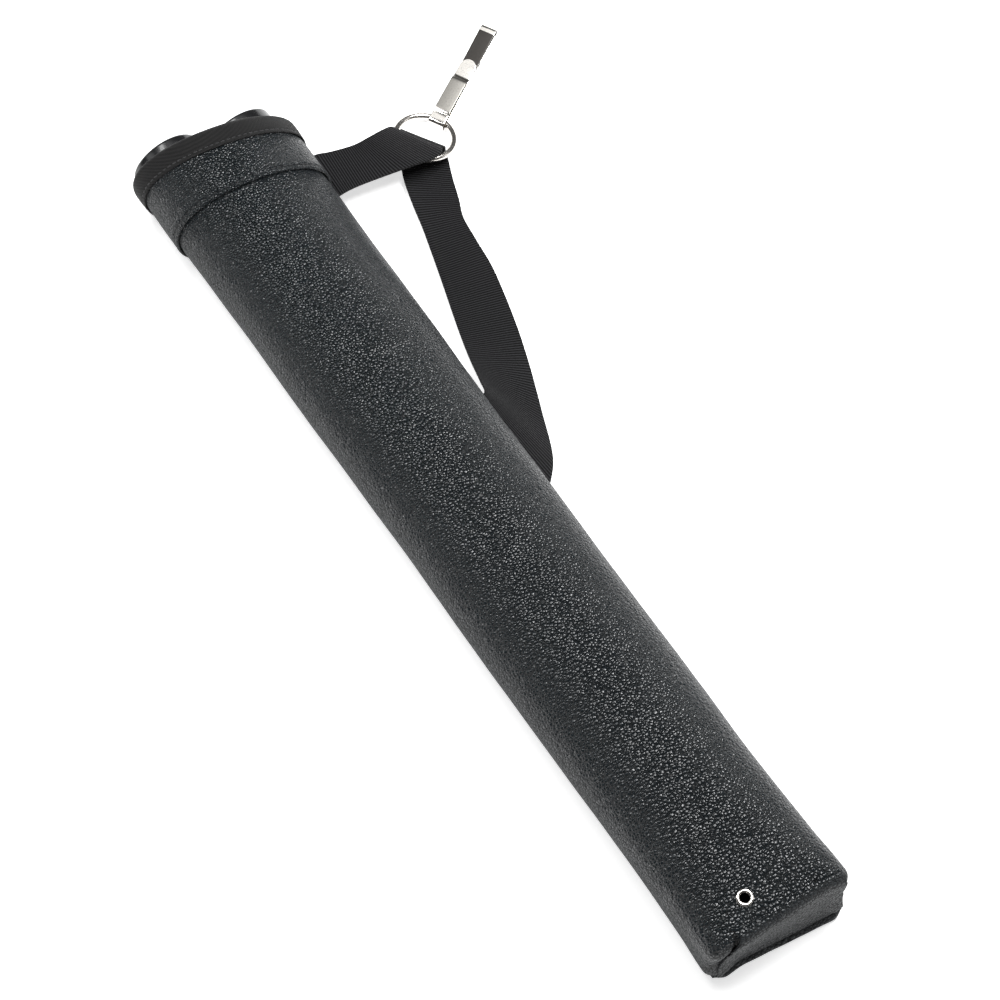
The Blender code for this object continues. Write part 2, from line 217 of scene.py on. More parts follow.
class Surface(Graph):
    """A material's node tree with the patterns that several finishes share."""

    def __init__(self, name: str) -> None:
        """Make the material and its output."""
        self.material = bpy.data.materials.new(name)
        self.material.use_nodes = True
        super().__init__(self.material.node_tree)
        self.output = self.add("ShaderNodeOutputMaterial")
        self.place = self.add("ShaderNodeTexCoord").outputs["Object"]

    def shade(self, fixed: dict, varied: dict) -> bpy.types.Material:
        """Finish the material with one Principled shader.

        Args:
            fixed: constant socket values.
            varied: sockets that a pattern feeds.

        Returns:
            The material.
        """
        shader = self.add("ShaderNodeBsdfPrincipled", None, {**fixed, **varied})
        self.tree.links.new(shader.outputs[0], self.output.inputs["Surface"])
        return self.material

    def noise(self, scale: float, detail: float = 2.0, place: Optional[Input] = None) -> Number:
        """Soft noise of about 1/scale metres."""
        inputs = {"Vector": self.place if place is None else place, "Scale": scale, "Detail": detail}
        return self.number(self.add("ShaderNodeTexNoise", None, inputs), "Fac")

    def cells(self, scale: float, feature: str, place: Input, output: str = "Distance") -> Number:
        """Voronoi cells of about 1/scale metres."""
        inputs = {"Vector": place, "Scale": scale}
        return self.number(self.add("ShaderNodeTexVoronoi", {"feature": feature}, inputs), output)

    def warped(self, scale: float, reach: float, stretch: Sequence[float] = (1.0, 1.0, 1.0)) -> Input:
        """Object coordinates pushed about by noise.

        Args:
            scale: the noise's scale.
            reach: how far a point moves, in metres.
            stretch: factors on the three coordinates.

        Returns:
            The new coordinates.
        """
        pushed = self.add("ShaderNodeTexNoise", None, {"Vector": self.place, "Scale": scale, "Detail": 2.0})
        centred = self.add("ShaderNodeVectorMath", {"operation": "SUBTRACT"},
                           {0: pushed.outputs["Color"], 1: (0.5, 0.5, 0.5)})
        small = self.add("ShaderNodeVectorMath", {"operation": "SCALE"},
                         {0: centred.outputs[0], "Scale": reach})
        moved = self.add("ShaderNodeVectorMath", {"operation": "ADD"}, {0: self.place, 1: small.outputs[0]})
        return self.add("ShaderNodeVectorMath", {"operation": "MULTIPLY"},
                        {0: moved.outputs[0], 1: stretch}).outputs[0]

    def mix(self, share: Input, first: Colour, second: Union[Colour, Input]) -> Input:
        """Blend two colours by a share."""
        node = self.add("ShaderNodeMix", {"data_type": "RGBA"})
        self.feed(node.inputs["Factor"], share)
        colours = [socket for socket in node.inputs if socket.type == "RGBA"]
        for socket, colour in zip(colours, (first, second)):
            self.feed(socket, (*colour, 1.0) if isinstance(colour, tuple) else colour)
        return next(socket for socket in node.outputs if socket.type == "RGBA")

    def relief(self, height: Number, depth: float, strength: float = 1.0) -> Input:
        """Bump from a height between 0 and 1, depth in metres."""
        inputs = {"Height": height, "Distance": depth, "Strength": strength}
        return self.add("ShaderNodeBump", None, inputs).outputs[0]

    def attribute(self, name: str) -> Number:
        """A value stored on the mesh."""
        return self.number(self.add("ShaderNodeAttribute", {"attribute_name": name}), "Fac")

    def sheet_place(self) -> tuple[Number, Number]:
        """The piece's own two coordinates along the cloth, in metres."""
        uv = self.add("ShaderNodeUVMap", {"uv_map": "cloth"}).outputs[0]
        split = self.add("ShaderNodeSeparateXYZ", None, {0: uv})
        return self.number(split, "X"), self.number(split, "Y")


# --- finishes -------------------------------------------------------------------------------


@dataclass(frozen=True)
class PebbledLeather:
    """Artificial leather with a pebble grain."""

    name: str = "pebbled_leather"
    tone: Colour = (0.0060, 0.0090, 0.0112)
    grain: float = 1.8
    height: float = 1.25
    roughness: float = 0.21
    finer_top: float = 0.25

    def material(self) -> bpy.types.Material:
        """Build the material.

        Returns:
            The leather material.
        """
        s = Surface(self.name)
        scale = 1.0 / (self.grain * MM)
        bent = s.add("ShaderNodeSeparateXYZ", None, {0: s.warped(150.0, 0.0012, (1.0, 1.2, 1.0))})
        x, y, z = (s.number(bent, axis) for axis in "XYZ")
        along = y + 0.245
        finer = 1.0 + along * (self.finer_top / 0.49)
        at = s.add("ShaderNodeCombineXYZ", None, {
            0: x * finer, 1: along * (1.0 + along * (self.finer_top / 0.98)), 2: z * finer})
        place = at.outputs[0]
        edge = s.cells(scale, "DISTANCE_TO_EDGE", place)
        centre = s.cells(scale, "F1", place)
        swell = s.noise(scale * 0.4, 2.0)
        fine = s.noise(scale * 3.5, 2.0)
        dome = 1.0 - centre * centre * 0.9
        height = dome * 0.55 + edge.eased(0.0, 0.16) * 0.35 + swell * 0.55 + fine * 0.1
        # Painted shade: the colour darkens towards a quarter of the tone along the grain's cell edges and where
        # the mesh stores shade marks at the corner tucks; the worn noise is the leather's own tone variation.
        crease = 1.0 - edge.eased(0.0, 0.14)
        worn = s.noise(28.0, 2.0)
        dark = tuple(0.25 * part for part in self.tone)
        light = tuple(1.3 * part for part in self.tone)
        share = 1.0 - (crease * 0.75 + s.attribute("crease")).eased(0.0, 1.0)
        colour = s.mix(share, dark, s.mix(worn, self.tone, light))
        rough = self.roughness + crease * 0.35 + (worn - 0.5) * 0.1 + s.attribute("flank") * 0.34
        return s.shade({"Specular IOR Level": 0.5}, {
            "Base Color": colour, "Roughness": rough, "Normal": s.relief(height, self.height * MM)})


@dataclass(frozen=True)
class RibbedWebbing:
    """Woven webbing with ribs across it."""

    name: str = "ribbed_webbing"
    tone: Colour = (0.0056, 0.0056, 0.0062)
    rib: float = 1.25
    thread: float = 0.42

    def material(self) -> bpy.types.Material:
        """Build the material.

        Returns:
            The webbing material.
        """
        s = Surface(self.name)
        along, across = s.sheet_place()
        rib = (along * (TURN / (self.rib * MM))).wave()
        thread = ((across + rib * (0.08 * MM)) * (TURN / (self.thread * MM))).wave()
        twist = ((along * 0.6 + across) * (TURN / (0.5 * MM))).wave()
        fuzz = s.noise(2600.0, 2.0)
        height = thread * 0.06 + twist * 0.03 + rib * 0.4 + fuzz * 0.3 + 0.4
        # Painted shade and highlight: the colour follows the weave's height, light on the rib crests and dark in
        # the valleys between them.
        light = tuple(3.4 * part for part in self.tone)
        dark = tuple(0.12 * part for part in self.tone)
        share = (rib * 0.9 + thread * 0.05 + fuzz * 0.2 + 0.35).eased(0.0, 1.0)
        colour = s.mix(share, dark, light)
        return s.shade({"Sheen Weight": 0.04, "Sheen Roughness": 0.5, "Specular IOR Level": 0.18}, {
            "Base Color": colour, "Roughness": 0.72 - rib * 0.08, "Normal": s.relief(height, 0.5 * MM)})


@dataclass(frozen=True)
class TwillTape:
    """Woven binding tape with fine slanting ribs."""

    name: str = "twill_tape"
    tone: Colour = (0.0100, 0.0099, 0.0100)
    rib: float = 1.15
    lean: float = -1.2

    def material(self) -> bpy.types.Material:
        """Build the material.

        Returns:
            The tape material.
        """
        s = Surface(self.name)
        along, across = s.sheet_place()
        wander = s.noise(140.0, 2.0) * (0.5 * MM)
        rib = ((along + across * self.lean + wander) * (TURN / (self.rib * MM))).wave()
        thread = ((across - along * 0.25) * (TURN / (0.42 * MM))).wave()
        fuzz = s.noise(2600.0, 2.0)
        height = rib * 0.42 + thread * 0.04 + fuzz * 0.2 + 0.45
        # Painted shade and highlight: the colour follows the twill's height, light on the rib crests and dark in
        # the valleys between them.
        light = tuple(2.6 * part for part in self.tone)
        dark = tuple(0.1 * part for part in self.tone)
        share = (rib * 1.1 + thread * 0.04 + fuzz * 0.1 + 0.4).eased(0.0, 1.0)
        return s.shade({"Sheen Weight": 0.04, "Sheen Roughness": 0.5, "Specular IOR Level": 0.18}, {
            "Base Color": s.mix(share, dark, light), "Roughness": 0.7 - rib * 0.06,
            "Normal": s.relief(height, 0.5 * MM)})


@dataclass(frozen=True)
class MouldedPlastic:
    """Glossy moulded plastic with faint drawing lines and scuffs."""

    name: str = "tube_plastic_gloss"
    tone: Colour = (0.0075, 0.0078, 0.0085)
    roughness: float = 0.22

    def material(self) -> bpy.types.Material:
        """Build the material.

        Returns:
            The plastic material.
        """
        s = Surface(self.name)
        drawn = s.noise(60.0, 3.0, s.warped(10.0, 0.0, (14.0, 0.4, 14.0)))
        scuff = s.noise(420.0, 3.0).eased(0.55, 0.75)
        rough = self.roughness + scuff * 0.12 + (drawn - 0.5) * 0.06
        light = tuple(2.0 * part for part in self.tone)
        return s.shade({"Specular IOR Level": 0.5}, {
            "Base Color": s.mix(scuff * 0.5, self.tone, light), "Roughness": rough,
            "Normal": s.relief(drawn, 0.03 * MM)})


@dataclass(frozen=True)
class PlatedMetal:
    """Bright nickel plate with a soft ripple and a few dull spots."""

    name: str = "nickel"
    tone: Colour = (0.72, 0.69, 0.65)
    roughness: float = 0.2
    dullness: float = 0.08

    def material(self) -> bpy.types.Material:
        """Build the material.

        Returns:
            The plated metal material.
        """
        s = Surface(self.name)
        spots = s.noise(900.0, 4.0).eased(0.52, 0.7)
        ripple = s.noise(240.0, 2.0)
        dark = tuple(0.72 * part for part in self.tone)
        return s.shade({"Metallic": 1.0}, {
            "Base Color": s.mix(spots * 0.6, self.tone, dark),
            "Roughness": self.roughness + spots * self.dullness,
            "Normal": s.relief(ripple, 0.006 * MM)})


@dataclass(frozen=True)
class BrushedSteel:
    """Spring steel strip, brushed along its length and lightly spotted."""

    name: str = "polished_spring_steel"
    tone: Colour = (0.80, 0.775, 0.73)
    roughness: float = 0.14
    spotting: float = 0.4

    def material(self) -> bpy.types.Material:
        """Build the material.

        Returns:
            The steel material.
        """
        s = Surface(self.name)
        along, across = s.sheet_place()
        lines = s.add("ShaderNodeCombineXYZ", None, {0: along * 60.0, 1: across * 3200.0})
        brush = s.noise(1.0, 3.0, lines.outputs[0])
        spots = s.noise(1100.0, 3.0).eased(0.5, 0.72)
        dark = tuple(0.7 * part for part in self.tone)
        rough = self.roughness + (brush - 0.5) * 0.1 + spots * 0.08
        return s.shade({"Metallic": 1.0}, {
            "Base Color": s.mix(spots * self.spotting, self.tone, dark),
            "Roughness": rough, "Normal": s.relief(brush * 0.7 + spots * 0.3, 0.02 * MM)})


@dataclass(frozen=True)
class SpunThread:
    """Waxed sewing thread with a slanting twist."""

    name: str = "black_thread"
    tone: Colour = (0.014, 0.0145, 0.0155)

    def material(self) -> bpy.types.Material:
        """Build the material.

        Returns:
            The thread material.
        """
        s = Surface(self.name)
        split = s.add("ShaderNodeSeparateXYZ", None, {0: s.place})
        x, y, z = (s.number(split, axis) for axis in "XYZ")
        twist = ((x + y * 0.7 + z) * (TURN / (0.32 * MM))).wave()
        # Painted highlight and shade: the colour follows the twist's height, lighter on its ridges and darker in
        # its grooves.
        light = tuple(2.4 * part for part in self.tone)
        return s.shade({"Sheen Weight": 0.15}, {
            "Base Color": s.mix((twist * 0.5 + 0.5), self.tone, light), "Roughness": 0.55 - twist * 0.06,
            "Normal": s.relief(twist * 0.5 + 0.5, 0.06 * MM)})


@dataclass(frozen=True)
class CellFoam:
    """Closed-cell foam or a felted lining, with fine pores."""

    name: str = "pore_foam"
    tone: Colour = (0.022, 0.022, 0.024)
    pore: float = 0.9

    def material(self) -> bpy.types.Material:
        """Build the material.

        Returns:
            The foam material.
        """
        s = Surface(self.name)
        pores = s.cells(1.0 / (self.pore * MM), "F1", s.place)
        soft = s.noise(60.0, 2.0)
        # Painted shade: the colour darkens in the pits at the pore centres, where the bump sinks; the soft noise
        # is the foam's own tone variation.
        dark = tuple(0.4 * part for part in self.tone)
        light = tuple(1.5 * part for part in self.tone)
        share = (pores * 0.8 + soft * 0.4).eased(0.1, 1.0)
        return s.shade({"Specular IOR Level": 0.3}, {
            "Base Color": s.mix(share, dark, light), "Roughness": 0.9 - soft * 0.1,
            "Normal": s.relief(pores, 0.25 * MM)})


@dataclass(frozen=True)
class StudioFloor:
    """Plain pale floor."""

    name: str = "studio_floor"
    tone: Colour = (0.93, 0.93, 0.93)
    glow: float = 0.62

    def material(self) -> bpy.types.Material:
        """Build the material.

        Returns:
            The floor material.
        """
        s = Surface(self.name)
        return s.shade({"Base Color": (*self.tone, 1.0), "Roughness": 0.9, "Specular IOR Level": 0.1,
                        "Emission Color": (1.0, 1.0, 1.0, 1.0), "Emission Strength": self.glow}, {})


# --- shapes ---------------------------------------------------------------------------------


def eased(value: float) -> float:
    """Ease a value between 0 and 1."""
    value = min(max(value, 0.0), 1.0)
    return value * value * (3.0 - 2.0 * value)


def bump(value: float, centre: float, width: float) -> float:
    """A smooth hill of height 1."""
    return math.exp(-(((value - centre) / width) ** 2))


def rounded_path(points: Sequence[Sequence[float]], radius: float, steps: int = 6) -> list[Vector]:
    """Replace each inner corner of a path with a short curve.

    Args:
        points: the path's corners.
        radius: how far from a corner its curve starts.
        steps: pieces in each curve.

    Returns:
        The rounded path.
    """
    path = [Vector(points[0])]
    for before, corner, after in zip(points, points[1:], points[2:]):
        before, corner, after = Vector(before), Vector(corner), Vector(after)
        start = corner + (before - corner).normalized() * min(radius, 0.45 * (corner - before).length)
        end = corner + (after - corner).normalized() * min(radius, 0.45 * (after - corner).length)
        for step in range(steps + 1):
            t = step / steps
            path.append(start.lerp(corner, t).lerp(corner.lerp(end, t), t))
    path.append(Vector(points[-1]))
    return path


def smooth_curve(points: Sequence[Vector], steps: int) -> list[Vector]:
    """Run a smooth curve through points.

    Args:
        points: the points to pass through.
        steps: pieces between two points.

    Returns:
        The denser points.
    """
    dense = []
    for index in range(len(points) - 1):
        p0, p1 = points[max(index - 1, 0)], points[index]
        p2, p3 = points[index + 1], points[min(index + 2, len(points) - 1)]
        for step in range(steps):
            t = step / steps
            slope = (p2 - p0) * t + (2.0 * p0 - 5.0 * p1 + 4.0 * p2 - p3) * t * t
            dense.append(p1 + 0.5 * (slope + (3.0 * p1 - 3.0 * p2 + p3 - p0) * t * t * t))
    dense.append(points[-1].copy())
    return dense


def evened(points: Sequence[Vector], spacing: float) -> list[Vector]:
    """Points at an even spacing along a path.

    Args:
        points: the path.
        spacing: wanted distance between points, in the path's unit.

    Returns:
        The new points, both ends kept.
    """
    steps = [0.0]
    for low, high in zip(points, points[1:]):
        steps.append(steps[-1] + (high - low).length)
    count = max(2, int(round(steps[-1] / spacing)) + 1)
    goals = np.linspace(0.0, steps[-1], count)
    columns = [np.interp(goals, steps, [point[axis] for point in points]) for axis in range(len(points[0]))]
    return [Vector(values) for values in zip(*columns)]


@dataclass
class Sheet:
    """A grid of points that becomes a sheet, a closed sleeve or a turned piece.

    Rows are lists of points in millimetres. A closed sheet joins the last column to the first.
    """

    name: str
    rows: list[list[Vector]]
    closed: bool = False
    looped: bool = False

    def mesh(self, cloth: Optional[list[list[tuple[float, float]]]] = None) -> bpy.types.Mesh:
        """Build the mesh.

        Args:
            cloth: distances along and across the cloth at each point, in millimetres. A closed
                sheet has one more column, for its last corner.

        Returns:
            The mesh, with a "cloth" UV layer if distances were given.
        """
        count = len(self.rows[0])
        flat = [point * MM for row in self.rows for point in row]
        faces, corners = [], []
        for row in range(len(self.rows) if self.looped else len(self.rows) - 1):
            after = (row + 1) % len(self.rows)
            for column in range(count if self.closed else count - 1):
                right = (column + 1) % count
                faces.append((row * count + column, after * count + column,
                              after * count + right, row * count + right))
                corners.append(((row, column), (after, column), (after, column + 1), (row, column + 1)))
        mesh = bpy.data.meshes.new(self.name)
        mesh.from_pydata(flat, [], faces)
        if cloth is not None:
            layer = mesh.uv_layers.new(name="cloth")
            values = [part * MM for face in corners for r, c in face for part in cloth[r][c]]
            layer.data.foreach_set("uv", values)
        mesh.update()
        return mesh


@dataclass
class Piece:
    """A finished visual piece: its mesh, its finish and the CAD nodes that it stands for."""

    name: str
    mesh: bpy.types.Mesh
    finishes: Sequence[bpy.types.Material]
    body: Body
    slot: Slot
    stands_for: Sequence[str] = ()
    flat_angle: float = 45.0

    def place(self, thickness: float = 0.0, offset: float = -1.0, even: bool = True, levels: int = 0,
              rim_slot: int = 0, bend: Optional[tuple[Body, Vector, Vector]] = None,
              bevel: float = 0.0) -> bpy.types.Object:
        """Link the piece, give it thickness and, unless a bend is given, tie it to the frame.

        Args:
            thickness: sheet thickness in millimetres, or 0 for a solid mesh.
            offset: -1 inside, 0 centred, 1 outside.
            even: whether the thickness is kept at corners.
            levels: subdivision levels.
            rim_slot: material offset of the sheet's cut edge.
            bend: second body and two places; if given, the piece is left untied with its transform baked, and the
                body and places are not used.
            bevel: width of the rounded edges in millimetres.

        Returns:
            The object.
        """
        for finish in self.finishes:
            self.mesh.materials.append(finish)
        piece = bpy.data.objects.new(self.name, self.mesh)
        bpy.context.scene.collection.objects.link(piece)
        if thickness:
            solid = piece.modifiers.new("thickness", "SOLIDIFY")
            solid.thickness = thickness * MM
            solid.offset = offset
            solid.use_even_offset = even
            solid.material_offset_rim = rim_slot
        if bevel:
            edge = piece.modifiers.new("soft_edges", "BEVEL")
            edge.width = bevel * MM
            edge.segments = 2
            edge.limit_method = "ANGLE"
            edge.angle_limit = math.radians(50.0)
        if levels:
            smooth = piece.modifiers.new("smooth", "SUBSURF")
            smooth.levels = smooth.render_levels = levels
        self.bake(piece)
        if bend is None:
            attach(piece, self.body.value)
        else:
            other, start, end = bend
            start * MM
            end * MM
            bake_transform(piece)
        if self.stands_for:
            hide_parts(*self.stands_for)
        LOG.info("%s: %d faces on %s", self.name, len(piece.data.polygons), self.body.value)
        return piece

    def bake(self, piece: bpy.types.Object) -> None:
        """Apply the modifiers and shade smooth up to the flat angle."""
        if piece.modifiers:
            shape = piece.evaluated_get(bpy.context.evaluated_depsgraph_get())
            mesh = bpy.data.meshes.new_from_object(shape)
            piece.modifiers.clear()
            piece.data = mesh
        mesh = piece.data
        mesh.shade_smooth()
        mesh.set_sharp_from_angle(angle=math.radians(self.flat_angle))


# --- the quiver's body ----------------------------------------------------------------------


@dataclass(frozen=True)
class Station:
    """The body's section at one place along it, in millimetres."""

    y: float
    half_width: float
    rise: float
    squareness: float
    back: float


@dataclass
class BodyShape:
    """Outside shape of the leather sleeve, from the base to the mouth."""

    axis_height: float = 23.0
    back_depth: float = 24.0
    rim_y: float = 231.0
    rim_fall: float = 0.15
    rim_rise: float = 0.20
    front_dip: float = 0.09
    rim_tilt: float = 0.05
    slant_from: float = 100.0
    slant_to: float = 190.0
    end_rounding: float = 5.5
    stations: tuple[Station, ...] = (
        Station(-243.0, 37.2, 19.4, 5.0, 0.0), Station(-236.0, 37.5, 20.2, 4.2, 0.0),
        Station(-225.0, 37.8, 21.2, 3.4, 0.0), Station(-205.0, 38.0, 22.2, 2.8, 0.0),
        Station(-180.0, 37.9, 22.9, 2.5, 0.0), Station(-130.0, 38.0, 23.3, 2.35, 0.0),
        Station(-40.0, 38.4, 23.5, 2.3, 0.0), Station(65.0, 38.2, 23.5, 2.3, 0.0),
        Station(120.0, 38.7, 23.6, 2.3, 0.0), Station(155.0, 39.1, 23.8, 2.2, 0.6),
        Station(185.0, 39.4, 24.0, 2.2, 3.0), Station(231.0, 39.5, 24.0, 2.2, 3.0))

    def section(self, y: float) -> Station:
        """The section at one place along the body.

        Args:
            y: place along the body.

        Returns:
            The section, blended from the two nearest stations.
        """
        if y <= self.stations[0].y:
            return self.stations[0]
        for low, high in zip(self.stations, self.stations[1:]):
            if y <= high.y:
                share = (y - low.y) / (high.y - low.y)
                parts = [getattr(low, key) + (getattr(high, key) - getattr(low, key)) * share
                         for key in ("half_width", "rise", "squareness", "back")]
                return Station(y, *parts)
        return self.stations[-1]

    def point(self, y: float, angle: float, offset: float = 0.0) -> Vector:
        """A point on the sleeve's outside.

        Args:
            y: place along the body.
            angle: angle around it, 0 at the strap side and a quarter turn at the front.
            offset: distance outwards from the sleeve.

        Returns:
            The point in millimetres.
        """
        at = self.section(y)
        across, up = math.cos(angle), math.sin(angle)
        power = 2.0 / at.squareness
        depth = at.rise if up > 0.0 else self.back_depth
        x = math.copysign(abs(across) ** power, across) * (at.half_width + offset)
        z = self.axis_height + math.copysign(abs(up) ** power, up) * (depth + offset)
        z = max(z, at.back - offset)
        slant = eased((y - self.slant_from) / (self.slant_to - self.slant_from))
        lean = slant * (self.rim_rise * (z - self.axis_height) - self.rim_fall * x)
        dip = self.front_dip * eased((y - 198.0) / 18.0) * max(z - self.axis_height, 0.0)
        tilt = self.rim_tilt * eased((y - 206.0) / 13.0) * x
        return Vector((x, y + lean - dip - tilt, z))

    def angles(self, count: int) -> list[float]:
        """Angles whose points are evenly spaced around the mid section.

        Args:
            count: number of points around.

        Returns:
            The angles.
        """
        fine = [TURN * step / 1440 for step in range(1441)]
        points = [self.point(0.0, angle) for angle in fine]
        steps = np.cumsum([0.0] + [(b - a).length for a, b in zip(points, points[1:])])
        goals = np.linspace(0.0, steps[-1], count, endpoint=False)
        return list(np.interp(goals, steps, fine))

    def front_angle(self, x: float, y: float) -> float:
        """The angle whose point on the front panel has this x."""
        at = self.section(y)
        share = min(max(abs(x) / at.half_width, 0.0), 1.0) ** (0.5 * at.squareness)
        angle = math.acos(min(share, 1.0))
        return angle if x >= 0.0 else math.pi - angle


SHAPE = BodyShape()


@dataclass
class Sleeve:
    """Leather sleeve that wraps the tubes: front panel, end fold, corner tucks and dark lining."""

    leather: bpy.types.Material
    lining: bpy.types.Material
    around: int = 198
    spacing: float = 2.25
    end_spacing: float = 1.35
    end_length: float = 30.0
    thickness: float = 1.2
    wave: float = 0.85
    corner: float = 26.0

    def soft(self, point: Vector) -> float:
        """How far the leather swells out or sinks at a point, in millimetres."""
        wide = noise.noise(Vector((point.x * 0.022, point.y * 0.013, point.z * 0.022)))
        small = noise.noise(Vector((point.x * 0.07, point.y * 0.045, point.z * 0.07 + 9.0)))
        swell = self.wave * wide + 0.16 * small
        ends = eased((SHAPE.rim_y - 30.0 - point.y) / 20.0) * eased((point.y + 243.0) / 14.0)
        back = eased(point.z / 6.0)
        return swell * ends * back

    def rows(self) -> list[list[Vector]]:
        """Rows of points from the middle of the end wall to the rim."""
        angles = SHAPE.angles(self.around)
        rows: list[list[Vector]] = []
        first = SHAPE.stations[0].y
        ring = [SHAPE.point(first, angle, -SHAPE.end_rounding) for angle in angles]
        middle = Vector((0.0, first - SHAPE.end_rounding, 0.5 * (SHAPE.axis_height + 18.0)))
        for share in (0.04, 0.14, 0.26, 0.38, 0.5, 0.62, 0.74, 0.84, 0.92):
            rows.append([Vector((middle.x + (p.x - middle.x) * share, middle.y,
                                 middle.z + (p.z - middle.z) * share)) for p in ring])
        for degrees in range(90, 0, -9):
            turn = math.radians(degrees)
            inset = SHAPE.end_rounding * (1.0 - math.cos(turn))
            drop = SHAPE.end_rounding * math.sin(turn)
            rows.append([SHAPE.point(first, angle, -inset) - Vector((0.0, drop, 0.0)) for angle in angles])
        length = SHAPE.rim_y - first - self.end_length
        near, far = int(self.end_length / self.end_spacing), int(length / self.spacing)
        places = [first + self.end_length * step / near for step in range(near)]
        places += [first + self.end_length + length * step / far for step in range(far + 1)]
        for y in places:
            row = []
            for angle in angles:
                point = SHAPE.point(y, angle)
                out = Vector((point.x, 0.0, point.z - SHAPE.axis_height)).normalized()
                row.append(point + out * self.soft(point))
            rows.append(row)
        return [[self.folded(point) for point in row] for row in rows]

    def folded(self, point: Vector) -> Vector:
        """Push the end wall into its soft folds: a hollow middle and two slanting corner tucks."""
        near = eased((-236.0 - point.y) / 7.0)
        point = point + base_ear(point) + Vector((0.0, end_lean(point), 0.0))
        if near <= 0.0:
            return point
        side = abs(point.x)
        tuck = bump(side + 0.55 * point.z, self.corner + 20.0, 1.5) * eased((side - 18.0) / 5.0)
        sag = 0.9 * bump(point.z, 24.0, 11.0) * (1.0 - eased((side - 24.0) / 12.0))
        pull = 0.8 * noise.noise(Vector((point.x * 0.06, 3.0, point.z * 0.08)))
        return point + Vector((0.0, near * (1.1 * tuck + sag + pull * near), 0.0))

    def build(self) -> bpy.types.Object:
        """Build and dress the sleeve.

        Returns:
            The sleeve.
        """
        mesh = Sheet("leather_sleeve", self.rows(), closed=True).mesh()
        shape = bmesh.new()
        shape.from_mesh(mesh)
        shape.verts.ensure_lookup_table()
        shape.faces.new([shape.verts[index] for index in range(self.around)])
        at = eyelet_place(0.0)
        gone = [face for face in shape.faces
                if (face.calc_center_median() - at.translation).length < 3.5 * MM]
        bmesh.ops.delete(shape, geom=gone, context="FACES")
        shape.normal_update()
        shape.to_mesh(mesh)
        shape.free()
        self.shadow(mesh)
        piece = Piece("leather_sleeve", mesh, (self.leather, self.lining), Body.SHELL, Slot.LEATHER,
                      ("cover",), flat_angle=60.0)
        sleeve = piece.place(self.thickness, -1.0, even=False)
        paint_inside(sleeve, 1)
        return sleeve

    def shadow(self, mesh: bpy.types.Mesh) -> None:
        """Store painted shade at the base's corner tucks, and where the leather turns away and is left duller."""
        marks = mesh.attributes.new("crease", "FLOAT", "POINT")
        values = []
        for vertex in mesh.vertices:
            p = vertex.co / MM
            side = abs(p.x)
            end = eased((-240.0 - p.y) / 4.0)
            tuck = bump(side + 0.55 * p.z, self.corner + 20.0, 1.3) * eased((side - 18.0) / 5.0)
            values.append(0.9 * end * tuck)
        marks.data.foreach_set("value", values)
        mark_flanks(mesh)


def mark_flanks(mesh: bpy.types.Mesh) -> None:
    """Store where the leather turns away from the front panel, which is left duller."""
    marks = mesh.attributes.new("flank", "FLOAT", "POINT")
    places = [vertex.co / MM for vertex in mesh.vertices]
    values = [max(1.0 - eased((place.z - 24.0) / 15.0), eased((-245.0 - place.y) / 3.0)) for place in places]
    marks.data.foreach_set("value", values)


def base_ear(point: Vector) -> Vector:
    """How far the pinched corners of the base stand out, in millimetres."""
    flare = eased((-185.0 - point.y) / 62.0) * eased((abs(point.x) - 12.0) / 24.0)
    near = eased((-218.0 - point.y) / 27.0)
    upper = eased((point.x - 18.0) / 16.0) * eased((point.z - 14.0) / 22.0)
    lower = eased((-18.0 - point.x) / 16.0) * eased((28.0 - point.z) / 22.0)
    wide = Vector((math.copysign(0.9 * flare, point.x), 0.0, 0.0))
    return wide + Vector((1.3 * upper - 0.4 * lower, -1.3 * upper - 4.0 * lower, 0.6 * upper)) * near


def end_lean(point: Vector) -> float:
    """How far the base's lower part leans along the body, in millimetres."""
    low = eased((43.0 - point.z) / 40.0)
    return eased((-222.0 - point.y) / 20.0) * low * (1.1 - 0.126 * point.x)


def paint_inside(piece: bpy.types.Object, index: int) -> None:
    """Give the faces that look towards the body's axis another material slot."""
    values = []
    for polygon in piece.data.polygons:
        centre, normal = polygon.center / MM, polygon.normal
        inward = Vector((-centre.x, 0.0, SHAPE.axis_height - centre.z))
        if centre.y < -246.0:
            inside = normal.y > 0.5
        else:
            inside = normal.dot(inward.normalized()) > 0.35
        values.append(index if inside else polygon.material_index)
    piece.data.polygons.foreach_set("material_index", values)


def eyelet_place(depth: float) -> Matrix:
    """Place on the front panel at the eyelet, lowered by depth in millimetres along its normal."""
    x, y, step = -9.4, -232.2, 4.0
    heights = []
    for at in (y, y + step, y - step):
        section = SHAPE.section(at)
        share = 1.0 - (abs(x) / section.half_width) ** section.squareness
        heights.append(SHAPE.axis_height + section.rise * share ** (1.0 / section.squareness))
    normal = Vector((0.0, (heights[2] - heights[1]) / (2.0 * step), 1.0)).normalized()
    point = (Vector((x, y, heights[0])) - normal * depth) * MM
    return Matrix.Translation(point) @ normal.to_track_quat("Z", "X").to_matrix().to_4x4()


